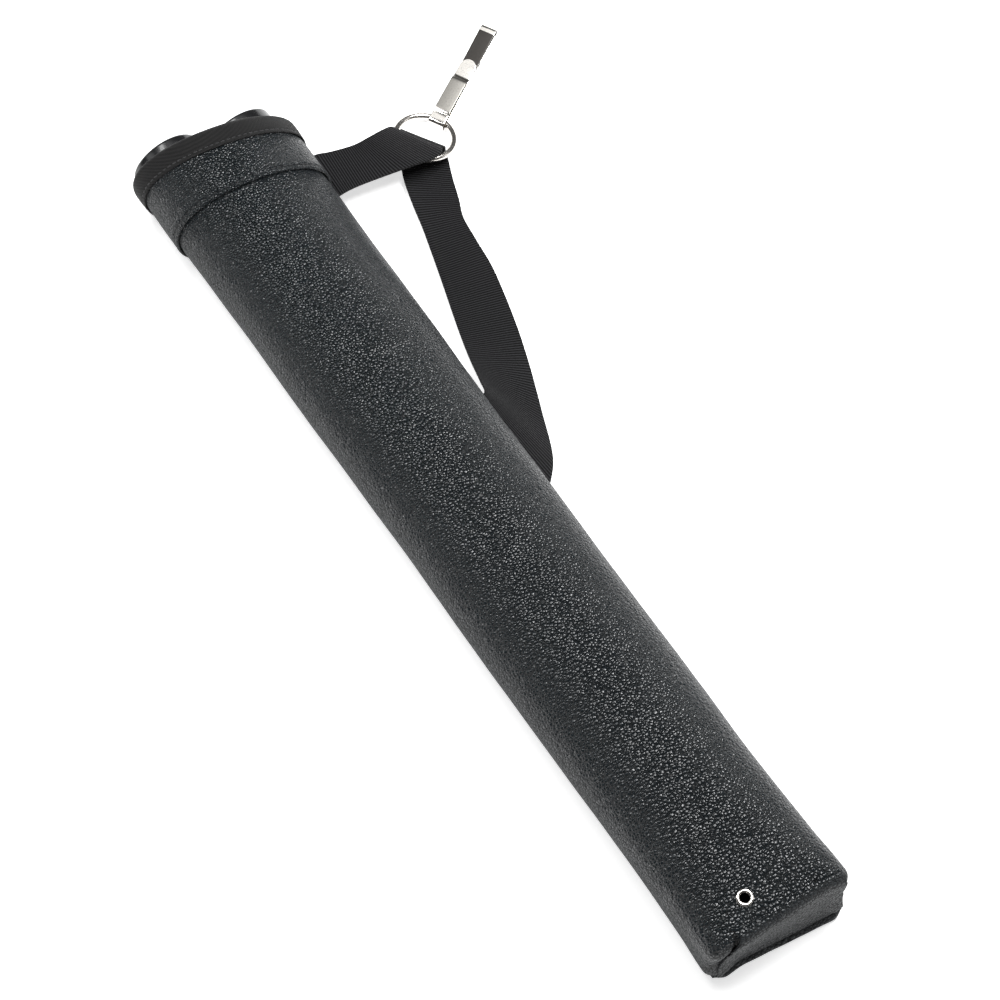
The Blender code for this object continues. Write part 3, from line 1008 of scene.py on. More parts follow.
@dataclass
class EndFlap:
    """End of the front panel, folded down over the base, with the back panel's turned lip below it."""

    leather: bpy.types.Material
    columns: int = 90
    low: float = 5.6
    proud: float = 1.25
    half_width: float = 33.4

    def top(self, x: float) -> float:
        """Height of the front panel's outside at the base's edge."""
        at = SHAPE.stations[0]
        share = 1.0 - (abs(x) / at.half_width) ** at.squareness
        return SHAPE.axis_height + at.rise * max(share, 0.0) ** (1.0 / at.squareness)

    def build(self) -> list[bpy.types.Object]:
        """Build the flap and the lip.

        Returns:
            The two pieces.
        """
        return [self.flap(), self.lip()]

    def flap(self) -> bpy.types.Object:
        """Build the flap: from the front panel, over the ridge, down the end."""
        end = SHAPE.stations[0].y
        rounding = SHAPE.end_rounding
        rows = []
        for index in range(self.columns + 1):
            share = index / self.columns
            row = []
            for step in range(44):
                run = step / 43.0
                left = -20.5 - 12.2 * eased(run * 1.15)
                x = left + (self.half_width - left) * share
                top = self.top(min(max(x, -36.0), 36.0))
                turn = 0.25 * TURN * min(run / 0.4, 1.0)
                lift = self.proud * eased(run / 0.25) - 0.35 * (1.0 - eased(run / 0.12))
                reach = rounding + lift
                side = eased((x - 29.5) / 3.9)
                edge = self.low + 0.4 * noise.noise(Vector((x * 0.08, 0.0, 0.0))) + 1.5 * side
                edge += 3.2 * eased((-22.0 - x) / 9.0)
                edge -= 0.6 * bump(x, 8.0, 14.0)
                down = max(run - 0.4, 0.0) / 0.6
                z = top - rounding + reach * math.cos(turn) + (edge - top + rounding) * down
                belly = 0.5 * noise.noise(Vector((x * 0.05, z * 0.09, 5.0))) * eased(down * 3.0)
                curl = 0.6 * eased((down - 0.75) / 0.25)
                row.append(self.gathered(Vector((x, end - reach * math.sin(turn) - belly - curl, z))))
            rows.append(row)
        mesh = Sheet("end_flap", rows).mesh()
        mark_flanks(mesh)
        piece = Piece("end_flap", mesh, (self.leather,), Body.SHELL, Slot.LEATHER, flat_angle=60.0)
        return piece.place(1.05, 1.0, bevel=0.22)

    def gathered(self, point: Vector) -> Vector:
        """Pull the flap in at its corners and lean it with the base."""
        side = eased((abs(point.x) - 29.0) / 6.2)
        pull = 1.9 * side * side * eased((40.0 - point.z) / 18.0)
        fold = 0.5 * bump(abs(point.x) + 0.5 * point.z, 44.0, 1.6) * eased((abs(point.x) - 16.0) / 8.0)
        return point + base_ear(point) + Vector((0.0, end_lean(point) + 0.4 * pull + fold, 0.0))

    def lip(self) -> bpy.types.Object:
        """Build the back panel's turned lip."""
        end = SHAPE.stations[0].y - SHAPE.end_rounding
        rows = []
        for index in range(self.columns + 1):
            x = 33.8 * (2.0 * index / self.columns - 1.0)
            side = eased((abs(x) - 26.0) / 7.8)
            bow = 0.3 * noise.noise(Vector((x * 0.09, 0.0, 2.0)))
            path = [(end + 1.2, 0.75), (end - 1.5, 0.8), (end - 3.0 + bow, 1.3), (end - 3.1 + bow, 2.5),
                    (end - 2.2 + bow, 3.6), (end - 0.9, 4.3), (end + 0.6, 4.5)]
            row = [Vector((x, along + 2.9 * side * side, up)) for along, up in
                   [(q.x, q.y) for q in smooth_curve([Vector(q) for q in path], 4)]]
            rows.append([point + 0.5 * base_ear(point) + Vector((0.0, end_lean(point), 0.0))
                         for point in row])
        rows.reverse()
        mesh = Sheet("back_panel_lip", rows).mesh()
        mark_flanks(mesh)
        piece = Piece("back_panel_lip", mesh, (self.leather,), Body.SHELL, Slot.LEATHER, ("base_lip",),
                      flat_angle=60.0)
        return piece.place(0.9, 0.0, bevel=0.15)


@dataclass
class Band:
    """A closed band around the body, given by its profile of (place along the body, offset outwards)."""

    name: str
    profile: list[tuple[float, float]]
    around: int = 300
    wave: float = 0.0
    seed: float = 0.0

    def mesh(self) -> bpy.types.Mesh:
        """Build the band with cloth distances.

        Returns:
            The mesh.
        """
        angles = SHAPE.angles(self.around)
        rows = []
        for along, offset in self.profile:
            row = []
            for angle in angles:
                point = SHAPE.point(SHAPE.rim_y + along, angle, offset)
                out = Vector((point.x, 0.0, point.z - SHAPE.axis_height)).normalized()
                where = Vector((point.x * 0.06, along * 0.05 + self.seed, point.z * 0.06))
                row.append(point + out * (self.wave * noise.noise(where)))
            rows.append(row)
        across = [0.0]
        for low, high in zip(self.profile, self.profile[1:]):
            across.append(across[-1] + math.dist(low, high))
        lengths = [0.0]
        ring = rows[0] + [rows[0][0]]
        for low, high in zip(ring, ring[1:]):
            lengths.append(lengths[-1] + (high - low).length)
        cloth = [[(length, over) for length in lengths] for over in across]
        cloth.append(cloth[0])
        return Sheet(self.name, rows, closed=True, looped=True).mesh(cloth)


@dataclass
class Mouth:
    """Leather cuff around the mouth with a hemmed lower edge, and the woven tape folded over its rim."""

    leather: bpy.types.Material
    tape: bpy.types.Material
    cuff_drop: float = 36.8
    tape_drop: float = 10.5
    tape_tuck: float = 8.0

    def build(self) -> list[bpy.types.Object]:
        """Build the cuff and the tape.

        Returns:
            The two pieces.
        """
        low = -self.cuff_drop
        hem = [(low + 3.0, 0.25), (low + 1.0, 0.25), (low + 0.2, 0.45), (low - 0.15, 0.95), (low + 0.1, 1.45),
               (low + 0.7, 1.8), (low + 1.3, 1.85), (low + 1.8, 1.65), (low + 2.2, 1.3), (low + 2.55, 1.18),
               (low + 2.9, 1.3), (low + 3.3, 1.55), (low + 3.9, 1.68), (low + 5.0, 1.68)]
        count = 24
        plain = [(low + 5.0 + (-low - 5.5) * step / count, 1.62) for step in range(1, count + 1)]
        inside = [(-0.4, 0.3)] + [(-8.0 * step, 0.25) for step in range(1, 5)]
        wrap = Band("mouth_cuff", hem + plain + inside, wave=0.3).mesh()
        mark_flanks(wrap)
        cuff = Piece("mouth_cuff", wrap, (self.leather,), Body.SHELL, Slot.LEATHER, ("cuff_band",),
                     flat_angle=70.0)
        drop = -self.tape_drop
        fold = [(drop + 1.5, 1.8), (drop + 0.2, 1.85), (drop - 0.15, 2.1), (drop + 0.05, 2.45), (drop + 0.6, 2.6),
                (drop + 1.3, 2.5), (drop + 1.7, 2.42), (drop + 2.1, 2.5), (drop + 2.8, 2.68), (drop + 4.5, 2.8),
                (drop + 6.5, 2.85), (drop + 8.5, 2.85), (-0.8, 2.8), (0.25, 2.45), (1.0, 1.75), (1.4, 0.9),
                (1.5, 0.1), (1.35, -0.8), (0.85, -1.6), (0.0, -2.1), (-1.5, -2.4), (-4.0, -2.45),
                (-self.tape_tuck, -2.35), (-self.tape_tuck - 0.2, -1.9), (-self.tape_tuck, -1.55), (-4.0, -1.5),
                (-1.0, -1.4), (0.3, -0.9), (0.6, 0.2), (0.2, 1.3), (-1.0, 1.8), (-5.0, 1.85)]
        dense = [(point.x, point.y) for point in smooth_curve([Vector(pair) for pair in fold], 2)]
        band = Band("rim_tape", dense, around=360, wave=0.18, seed=4.0).mesh()
        tape = Piece("rim_tape", band, (self.tape,), Body.SHELL, Slot.TAPE, ("mouth_binding",),
                     flat_angle=80.0)
        return [cuff.place(), tape.place()]


@dataclass
class BackSeam:
    """Leather strip over the joined edges of the cover, along the back flank."""

    leather: bpy.types.Material
    low: float = -222.0
    high: float = 178.0

    def build(self) -> bpy.types.Object:
        """Build the strip.

        Returns:
            The strip.
        """
        offsets = [(-130.0, 0.25), (-130.2, 0.9), (-131.2, 1.3), (-134.0, 1.45), (-137.0, 1.25), (-140.0, 1.15),
                   (-143.0, 1.25), (-146.0, 1.45), (-148.8, 1.3), (-149.8, 0.9), (-150.0, 0.25)]
        count = 260
        rows = []
        for angle, offset in offsets:
            row = []
            for step in range(count + 1):
                y = self.low + (self.high - self.low) * step / count
                end = min(eased((y - self.low) / 1.2), eased((self.high - y) / 1.2))
                soft = 0.15 * noise.noise(Vector((angle * 0.1, y * 0.06, 1.0)))
                lift = 0.2 + (offset - 0.2 + soft) * (0.3 + 0.7 * end)
                row.append(SHAPE.point(y, math.radians(angle), lift))
            rows.append(row)
        mesh = Sheet("back_seam", rows).mesh()
        piece = Piece("back_seam", mesh, (self.leather,), Body.SHELL, Slot.LEATHER, ("back_seam_strip",),
                      flat_angle=70.0)
        return piece.place()


@dataclass
class BasePad:
    """Foam pad that the arrow points land on, inside the base."""

    foam: bpy.types.Material
    thickness: float = 5.0
    inset: float = 5.0

    def build(self) -> bpy.types.Object:
        """Returns:
            The pad.
        """
        low = SHAPE.stations[0].y - SHAPE.end_rounding + 1.5
        angles = SHAPE.angles(120)
        profile = [(0.0, 2.5), (0.0, 0.9), (0.35, 0.25), (0.9, 0.0), (0.5 * self.thickness, -0.15),
                   (self.thickness - 0.9, 0.0), (self.thickness - 0.3, 0.3), (self.thickness, 0.9),
                   (self.thickness, 2.5)]
        rows = []
        for along, inset in profile:
            ring = [SHAPE.point(SHAPE.stations[0].y, angle, -self.inset - inset) for angle in angles]
            rows.append([Vector((p.x, low + along, p.z)) for p in ring])
        for row in rows:
            for index, point in enumerate(row):
                row[index] = point + Vector((0.0, end_lean(point), 0.0))
        mesh = Sheet("foam_pad", rows, closed=True).mesh()
        shape = bmesh.new()
        shape.from_mesh(mesh)
        shape.verts.ensure_lookup_table()
        count = len(angles)
        total = len(shape.verts)
        shape.faces.new([shape.verts[index] for index in range(count)])
        shape.faces.new([shape.verts[index] for index in range(total - 1, total - count - 1, -1)])
        shape.normal_update()
        shape.to_mesh(mesh)
        shape.free()
        pad = Piece("foam_pad", mesh, (self.foam,), Body.SHELL, Slot.FOAM, ("base_pad",)).place()
        return pad


# --- turned pieces --------------------------------------------------------------------------


@dataclass
class Turning:
    """A piece turned from a profile of (radius, height), in millimetres."""

    name: str
    profile: list[tuple[float, float]]
    around: int = 96
    closed_profile: bool = True

    def mesh(self, place: Matrix) -> bpy.types.Mesh:
        """Turn the profile and put it in place.

        Args:
            place: where the turned piece's origin and axis go, in metres.

        Returns:
            The mesh.
        """
        rows = []
        for radius, height in self.profile:
            row = []
            for step in range(self.around):
                turn = TURN * step / self.around
                row.append(Vector((radius * math.cos(turn), radius * math.sin(turn), height)))
            rows.append(row)
        mesh = Sheet(self.name, rows, closed=True, looped=self.closed_profile).mesh()
        mesh.transform(place)
        mesh.update()
        return face_outward(mesh)


def face_outward(mesh: bpy.types.Mesh) -> bpy.types.Mesh:
    """Turn a closed mesh's faces outward.

    Args:
        mesh: the mesh.

    Returns:
        The same mesh.
    """
    shape = bmesh.new()
    shape.from_mesh(mesh)
    bmesh.ops.recalc_face_normals(shape, faces=shape.faces)
    if shape.calc_volume(signed=True) < 0.0:
        bmesh.ops.reverse_faces(shape, faces=shape.faces)
    shape.to_mesh(mesh)
    shape.free()
    return mesh


@dataclass
class ArrowTube:
    """One open plastic tube with a rolled lip."""

    name: str
    body: Body
    node: str
    x: float
    end: float
    plastic: bpy.types.Material
    length: float = 477.5
    radius: float = 16.2
    bore: float = 15.0
    lip: float = 18.4
    bead: float = 1.7
    collar: float = 14.0

    def build(self) -> bpy.types.Object:
        """Build the tube.

        Returns:
            The tube.
        """
        top = self.length
        bead = []
        for degrees in range(130, -1, -10):
            turn = math.radians(degrees)
            bead.append((self.lip - self.bead + self.bead * math.cos(turn),
                         top - self.bead + self.bead * math.sin(turn)))
        low = top - self.collar
        outside = [(self.lip, low + 2.6), (self.lip - 0.25, low + 1.6), (self.radius + 1.0, low + 0.7),
                   (self.radius + 0.3, low + 0.2), (self.radius, low)]
        outside += [(self.radius, low - (low - 1.0) * step / 24.0) for step in range(1, 25)]
        foot = [(self.radius - 0.15, 0.35), (self.radius - 0.45, 0.0), (self.bore + 0.45, 0.0), (self.bore, 0.4)]
        inside = [(self.bore, 1.0 + (top - 8.0) * step / 24.0) for step in range(0, 25)]
        inside += [(self.bore + 0.05, top - 4.6), (self.bore + 0.1, top - 2.9), (self.bore + 0.12, top - 2.0)]
        place = Matrix.Translation(Vector((self.x, self.end - self.length, SHAPE.axis_height)) * MM)
        place = place @ Matrix.Rotation(-0.25 * TURN, 4, "X")
        mesh = Turning(self.name, bead + outside + foot + inside, around=128).mesh(place)
        return Piece(self.name, mesh, (self.plastic,), self.body, Slot.PLASTIC, (self.node,)).place()


@dataclass
class Eyelet:
    """Nickel eyelet in the front panel, with its washer inside."""

    nickel: bpy.types.Material
    flange: float = 4.2
    barrel: float = 3.0
    bore: float = 2.35
    gap: float = 0.3

    def build(self) -> list[bpy.types.Object]:
        """Build the eyelet and its washer.

        Returns:
            The two pieces.
        """
        roll = 0.9
        profile = []
        for degrees in range(200, -61, -13):
            turn = math.radians(degrees)
            profile.append((self.flange - roll + roll * math.cos(turn),
                            self.gap + 0.32 + 0.62 * math.sin(turn)))
        profile += [(self.barrel, self.gap - 0.1), (self.barrel, -2.3), (self.barrel + 1.0, -3.0),
                    (self.barrel + 0.6, -3.4), (self.bore, -2.7), (self.bore, 0.1), (self.bore + 0.12, 0.42)]
        front = Turning("eyelet_barrel", profile, around=72).mesh(eyelet_place(0.0))
        inner = self.barrel + 0.3
        ring = [(5.2, -0.02), (5.3, -0.15), (5.3, -0.4), (5.15, -0.5), (inner, -0.5), (inner, 0.0)]
        washer = Turning("eyelet_inner_washer", ring, around=72).mesh(eyelet_place(1.5))
        return [
            Piece("eyelet_barrel", front, (self.nickel,), Body.SHELL, Slot.NICKEL, ("eyelet",)).place(),
            Piece("eyelet_inner_washer", washer, (self.nickel,), Body.SHELL, Slot.NICKEL,
                  ("eyelet_washer",)).place()]


# --- strap, ring and clip -------------------------------------------------------------------


@dataclass
class Strap:
    """One length of ribbed webbing: sewn to the cuff, folded through the ring, sewn to the body."""

    webbing: bpy.types.Material
    thickness: float = 1.3
    columns: int = 26
    spacing: float = 0.9
    fold_centre: Vector = field(default_factory=lambda: Vector((94.3, 187.8, 8.6)))
    fold_radius: float = 1.9
    fold_reach: float = 11.9
    fold_along: Vector = field(default_factory=lambda: Vector((0.532, -0.8467, 0.0)).normalized())
    fold_out: Vector = field(default_factory=lambda: Vector((0.8467, 0.532, 0.0)).normalized())

    def edges(self) -> tuple[list[Vector], list[Vector]]:
        """Control points of the strap's two edges.

        Returns:
            The left and right edges, from the upper sewn end to the lower one.
        """
        rows: list[tuple[Vector, Vector]] = []
        on_cuff = 2.65
        for degrees in (-52.0, -45.0, -38.0, -31.0, -25.0):
            angle = math.radians(degrees)
            rows.append((SHAPE.point(219.6, angle, on_cuff), SHAPE.point(192.4, angle, on_cuff)))
        upper = (((44.6, 209.2, 13.9), (43.8, 183.4, 13.9)), ((52.0, 206.0, 14.6), (50.5, 182.8, 14.4)),
                 ((63.0, 202.6, 15.0), (63.0, 180.4, 14.9)), ((72.0, 201.8, 15.2), (80.0, 176.6, 15.3)),
                 ((80.0, 201.9, 14.2), (91.0, 174.6, 14.0)), ((85.2, 201.6, 12.5), (98.2, 175.8, 12.6)))
        rows += [(Vector(left), Vector(right)) for left, right in upper]
        for degrees in (90, 45, 0, -45, -90):
            turn = math.radians(degrees)
            centre = self.fold_centre + self.fold_radius * math.cos(turn) * self.fold_out
            centre += Vector((0.0, 0.0, self.fold_radius * math.sin(turn)))
            centre -= self.fold_along * 0.9 * degrees / 90.0
            reach = self.fold_along * self.fold_reach
            rows.append((centre - reach, centre + reach))
        lower = (((83.4, 190.0, 4.6), (101.4, 175.2, 3.9)), ((77.6, 180.4, 3.8), (97.4, 164.6, 2.2)),
                 ((73.0, 165.5, 3.4), (93.6, 153.5, 1.4)), ((69.4, 150.3, 3.4), (89.8, 143.8, 1.3)),
                 ((65.0, 134.5, 2.8), (88.2, 130.0, 1.3)), ((60.4, 118.5, 2.2), (86.2, 112.0, 1.3)),
                 ((53.0, 94.0, 2.6), (79.6, 84.5, 1.4)), ((48.0, 76.0, 5.2), (72.4, 62.0, 2.0)),
                 ((45.0, 63.0, 8.6), (61.6, 34.0, 4.4)), ((42.8, 55.8, 11.2), (50.4, 8.0, 8.6)))
        rows += [(Vector(left), Vector(right)) for left, right in lower]
        for step, degrees in enumerate((-25.0, -32.0, -39.0, -47.0, -55.0)):
            angle = math.radians(degrees)
            slip = 6.0 * step
            rows.append((SHAPE.point(53.0 - slip, angle, 1.0), SHAPE.point(-8.0 - slip, angle, 1.0)))
        return [row[0] for row in rows], [row[1] for row in rows]

    def rows(self) -> tuple[list[list[Vector]], list[list[tuple[float, float]]]]:
        """Fine rows of points and their distances along and across the webbing."""
        left, right = self.edges()
        left, right = smooth_curve(left, 14), smooth_curve(right, 14)
        joined = [Vector((*a, *b)) for a, b in zip(left, right)]
        both = evened(joined, self.spacing * math.sqrt(2.0))
        rows, cloth, run = [], [], 0.0
        for index, pair in enumerate(both):
            first, last = Vector(pair[:3]), Vector(pair[3:])
            if index:
                before = both[index - 1]
                middle = 0.5 * (first + last) - 0.5 * (Vector(before[:3]) + Vector(before[3:]))
                run += middle.length
            row, line = [], []
            for column in range(self.columns + 1):
                share = column / self.columns
                point = first.lerp(last, share)
                limp = 0.35 * noise.noise(Vector((run * 0.045, share * 1.4, 7.0)))
                fray = 0.03 * math.sin(TURN * run / 1.25) if column in (0, self.columns) else 0.0
                free = eased((point.x - 44.0) / 8.0)
                side = (last - first).normalized()
                row.append(point + Vector((0.0, 0.0, limp * free)) + side * fray * (1.0 if column else -1.0))
                line.append((run, share * 25.0))
            rows.append(row)
            cloth.append(line)
        return rows, cloth

    def build(self) -> bpy.types.Object:
        """Build the strap.

        Returns:
            The strap.
        """
        rows, cloth = self.rows()
        piece = Piece("folded_strap", Sheet("folded_strap", rows).mesh(cloth), (self.webbing,), Body.SHELL,
                      Slot.WEBBING, ("webbing_strap", "strap_end_upper", "strap_end_lower"), flat_angle=70.0)
        bend = (Body.STRAP, Vector((40.8, 0.0, 0.0)), Vector((47.0, 0.0, 0.0)))
        return piece.place(self.thickness, 0.0, even=False, bevel=0.32, bend=bend)


@dataclass
class SteelRing:
    """Round plated ring through the strap's fold."""

    nickel: bpy.types.Material
    centre: Vector = field(default_factory=lambda: Vector((97.2, 189.6, 7.6)))
    radius: float = 14.9
    wire: float = 1.6
    facets: int = 28
    tilt: float = math.radians(17.0)
    along: Vector = field(default_factory=lambda: Vector((0.532, -0.8467, 0.0)).normalized())
    out: Vector = field(default_factory=lambda: Vector((0.8467, 0.532, 0.0)).normalized())

    def build(self) -> bpy.types.Object:
        """Build the ring.

        Returns:
            The ring.
        """
        lowered = self.out * math.cos(self.tilt) - Vector((0.0, 0.0, math.sin(self.tilt)))
        facing = self.along.cross(lowered)
        turn = Matrix((self.along, lowered, facing)).transposed().to_4x4()
        turns = [TURN * step / self.facets for step in range(self.facets)]
        profile = [(self.radius + self.wire * math.cos(at), self.wire * math.sin(at)) for at in turns]
        mesh = Turning("steel_ring", profile, around=144).mesh(Matrix.Translation(self.centre * MM) @ turn)
        return Piece("steel_ring", mesh, (self.nickel,), Body.RING, Slot.NICKEL, ("strap_ring",)).place()


@dataclass
class BeltClip:
    """Belt clip bent from one strip of spring steel, looped round the ring."""

    steel: bpy.types.Material
    # Darker copies of the steel, for painted shade on the front bar and on the strip's edges and spine.
    satin: bpy.types.Material
    dark_shade_steel: bpy.types.Material
    start: Vector = field(default_factory=lambda: Vector((106.7, 194.0, 0.0)))
    along: Vector = field(default_factory=lambda: Vector((0.868, 0.497, 0.0)).normalized())
    half_width: float = 4.05
    gauge: float = 0.9
    tip: float = 40.6
    corner: float = 1.7

    def build(self) -> bpy.types.Object:
        """Build the clip.

        Returns:
            The clip.
        """
        bends = [(self.tip - 4.05, 4.85), (28.6, 4.95), (27.2, 6.9), (7.4, 7.1), (6.4, 6.3), (0.2, 6.3),
                 (0.2, 0.95), (6.0, 1.0), (27.0, 2.5), (45.0, 4.1), (57.0, 5.2), (61.8, 5.2), (61.8, 0.95),
                 (56.0, 0.95), (44.0, 1.1), (36.0, 2.0), (33.0, 1.9), (26.5, 0.95)]
        round_tip = [(self.tip - depth, 4.85) for depth in (0.04, 0.18, 0.4, 0.75, 1.2, 1.8, 2.5, 3.2)]
        path = [Vector(point) for point in round_tip] + evened(rounded_path(bends, self.corner, 8), 0.6)
        side = Vector((-self.along.y, self.along.x, 0.0))
        rows, cloth, run = [], [], 0.0
        for index, point in enumerate(path):
            run += (point - path[index - 1]).length if index else 0.0
            from_tip = self.tip - point.x if index < len(round_tip) else self.half_width
            missing = self.half_width - min(from_tip, self.half_width)
            half = math.sqrt(max(self.half_width ** 2 - missing ** 2, 0.01))
            dish = 0.1 if index >= len(round_tip) else 0.0
            centre = self.start + self.along * point.x + Vector((0.0, 0.0, point.y))
            shares = (-1.0, -0.9, -0.6, -0.2, 0.2, 0.6, 0.9, 1.0)
            rows.append([centre + side * half * share + Vector((0.0, 0.0, -dish * share * share))
                         for share in shares])
            cloth.append([(run, half * share) for share in shares])
        mesh = Sheet("spring_belt_clip", rows).mesh(cloth)
        piece = Piece("spring_belt_clip", mesh, (self.steel, self.satin, self.dark_shade_steel), Body.CLIP,
                      Slot.STEEL, ("belt_clip",), flat_angle=40.0)
        clip = piece.place(self.gauge, 0.0, even=True, bevel=0.2)
        self.paint_clip_shade(clip)
        return clip

    def paint_clip_shade(self, clip: bpy.types.Object) -> None:
        """Paint shade onto the clip: a rougher, darker copy of the steel on the front bar, and a near-black copy
        on the strip's edges and its bare spine.
        """
        side = Vector((-self.along.y, self.along.x, 0.0))
        slots = []
        for polygon in clip.data.polygons:
            centre, normal = polygon.center / MM, polygon.normal
            run = (centre - self.start).dot(self.along)
            spine = 34.0 < run < 58.0 and centre.z > 3.0 and (run > self.tip + 0.3 or centre.z < 4.7)
            slot = 0
            if abs(normal.dot(side)) > 0.4 or (spine and normal.z > 0.5):
                slot = 2
            elif 7.6 < run < 29.0 and centre.z > 5.6 and normal.z > 0.15:
                slot = 1
            slots.append(slot)
        clip.data.polygons.foreach_set("material_index", slots)


# --- stitches -------------------------------------------------------------------------------


@dataclass
class Seam:
    """One line of stitches: places in millimetres and the way out of the cloth at each."""

    places: list[Vector]
    outs: list[Vector]
    pitch: float = 3.0

    def marks(self) -> list[tuple[Vector, Vector, Vector]]:
        """Stitch centres with their direction and outward way, evenly spaced.

        Returns:
            Tuples of place, direction and outward way.
        """
        joined = [Vector((*place, *out)) for place, out in zip(self.places, self.outs)]
        steps = [0.0]
        for low, high in zip(self.places, self.places[1:]):
            steps.append(steps[-1] + (high - low).length)
        count = max(2, int(steps[-1] / self.pitch))
        goals = np.linspace(0.0, steps[-1], 2 * count + 1)
        columns = [np.interp(goals, steps, [row[axis] for row in joined]) for axis in range(6)]
        dense = [Vector(values) for values in zip(*columns)]
        marks = []
        for index in range(1, len(dense) - 1, 2):
            before, here, after = dense[index - 1], dense[index], dense[index + 1]
            way = (Vector(after[:3]) - Vector(before[:3])).normalized()
            marks.append((Vector(here[:3]), way, Vector(here[3:]).normalized()))
        return marks


class StitchGraph(Graph):
    """Geometry nodes that lay one small stitch at every mark."""

    def __init__(self, thread: bpy.types.Material) -> None:
        """Build the node group.

        Args:
            thread: the stitches' finish.
        """
        group = bpy.data.node_groups.new("stitch_line", "GeometryNodeTree")
        face = group.interface
        face.new_socket("Geometry", in_out="INPUT", socket_type="NodeSocketGeometry")
        self.length = face.new_socket("Length", in_out="INPUT", socket_type="NodeSocketFloat").identifier
        self.width = face.new_socket("Width", in_out="INPUT", socket_type="NodeSocketFloat").identifier
        face.new_socket("Geometry", in_out="OUTPUT", socket_type="NodeSocketGeometry")
        super().__init__(group)
        group_in = self.add("NodeGroupInput")
        group_out = self.add("NodeGroupOutput")
        bead = self.add("GeometryNodeMeshUVSphere", None, {"Segments": 8, "Rings": 5, "Radius": 0.5})
        width = self.number(group_in, "Width")
        size = self.add("ShaderNodeCombineXYZ", None,
                        {0: group_in.outputs["Length"], 1: width, 2: width * 0.8})
        shaped = self.add("GeometryNodeTransform", None,
                          {"Geometry": bead.outputs["Mesh"], "Scale": size.outputs[0]})
        way = self.add("GeometryNodeInputNamedAttribute", {"data_type": "FLOAT_VECTOR"}, {"Name": "way"})
        out = self.add("GeometryNodeInputNamedAttribute", {"data_type": "FLOAT_VECTOR"}, {"Name": "out"})
        aimed = self.add("FunctionNodeAlignRotationToVector", {"axis": "X"},
                         {"Vector": way.outputs["Attribute"]})
        upright = self.add("FunctionNodeAlignRotationToVector", {"axis": "Z", "pivot_axis": "X"},
                           {"Rotation": aimed.outputs[0], "Vector": out.outputs["Attribute"]})
        vary = self.add("FunctionNodeRandomValue", {"data_type": "FLOAT_VECTOR"})
        vectors = [socket for socket in vary.inputs if socket.type == "VECTOR"]
        self.feed(vectors[0], (0.9, 0.86, 0.8))
        self.feed(vectors[1], (1.06, 1.1, 1.1))
        seed = next(socket for socket in vary.inputs if socket.name == "Seed")
        self.feed(seed, 11)
        laid = self.add("GeometryNodeInstanceOnPoints", None, {
            "Points": group_in.outputs["Geometry"], "Instance": shaped.outputs["Geometry"],
            "Rotation": upright.outputs[0], "Scale": vary.outputs[0]})
        real = self.add("GeometryNodeRealizeInstances", None, {"Geometry": laid.outputs["Instances"]})
        dressed = self.add("GeometryNodeSetMaterial", None, {"Geometry": real.outputs["Geometry"],
                                                             "Material": thread})
        self.tree.links.new(dressed.outputs["Geometry"], group_out.inputs[0])


@dataclass
class Stitching:
    """All the sewing of one body."""

    thread: bpy.types.Material
    seams: list[Seam]
    name: str = "seam_stitches"
    length: float = 2.3
    width: float = 0.62

    def build(self) -> bpy.types.Object:
        """Lay the stitches along every seam.

        Returns:
            The stitches as one mesh.
        """
        marks = [mark for seam in self.seams for mark in seam.marks()]
        mesh = bpy.data.meshes.new(self.name)
        mesh.from_pydata([place * MM for place, _, _ in marks], [], [])
        for key, column in (("way", 1), ("out", 2)):
            layer = mesh.attributes.new(key, "FLOAT_VECTOR", "POINT")
            layer.data.foreach_set("vector", [part for mark in marks for part in mark[column]])
        piece = bpy.data.objects.new(self.name, mesh)
        bpy.context.scene.collection.objects.link(piece)
        graph = StitchGraph(self.thread)
        lay = piece.modifiers.new("stitches", "NODES")
        lay.node_group = graph.tree
        lay[graph.length] = self.length * MM
        lay[graph.width] = self.width * MM
        shape = piece.evaluated_get(bpy.context.evaluated_depsgraph_get())
        sewn = bpy.data.meshes.new_from_object(shape)
        piece.modifiers.clear()
        piece.data = sewn
        sewn.shade_smooth()
        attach(piece, Body.SHELL.value)
        LOG.info("%s: %d stitches", self.name, len(marks))
        return piece


def ring_seam(along: float, offset: float, pitch: float) -> Seam:
    """A seam around the mouth.

    Args:
        along: place along the body from the rim.
        offset: distance outwards from the sleeve.
        pitch: stitch spacing.

    Returns:
        The seam.
    """
    angles = SHAPE.angles(180) + [TURN + SHAPE.angles(180)[0]]
    places = [SHAPE.point(SHAPE.rim_y + along, angle, offset) for angle in angles]
    outs = [Vector((place.x, 0.0, place.z - SHAPE.axis_height)).normalized() for place in places]
    return Seam(places, outs, pitch)


def flank_seam(spans: Sequence[tuple[float, float]], offset: float, pitch: float = 3.0) -> Seam:
    """A seam on the body's side through (angle in degrees, place along the body) corners.

    Args:
        spans: the corners.
        offset: distance outwards from the sleeve.
        pitch: stitch spacing.

    Returns:
        The seam.
    """
    places = []
    for (angle_a, y_a), (angle_b, y_b) in zip(spans, spans[1:]):
        steps = max(2, int(abs(y_b - y_a) / 6.0) + int(abs(angle_b - angle_a) / 4.0))
        for step in range(steps):
            share = step / steps
            places.append(SHAPE.point(y_a + (y_b - y_a) * share,
                                      math.radians(angle_a + (angle_b - angle_a) * share), offset))
    places.append(SHAPE.point(spans[-1][1], math.radians(spans[-1][0]), offset))
    outs = [Vector((place.x, 0.0, place.z - SHAPE.axis_height)).normalized() for place in places]
    return Seam(places, outs, pitch)


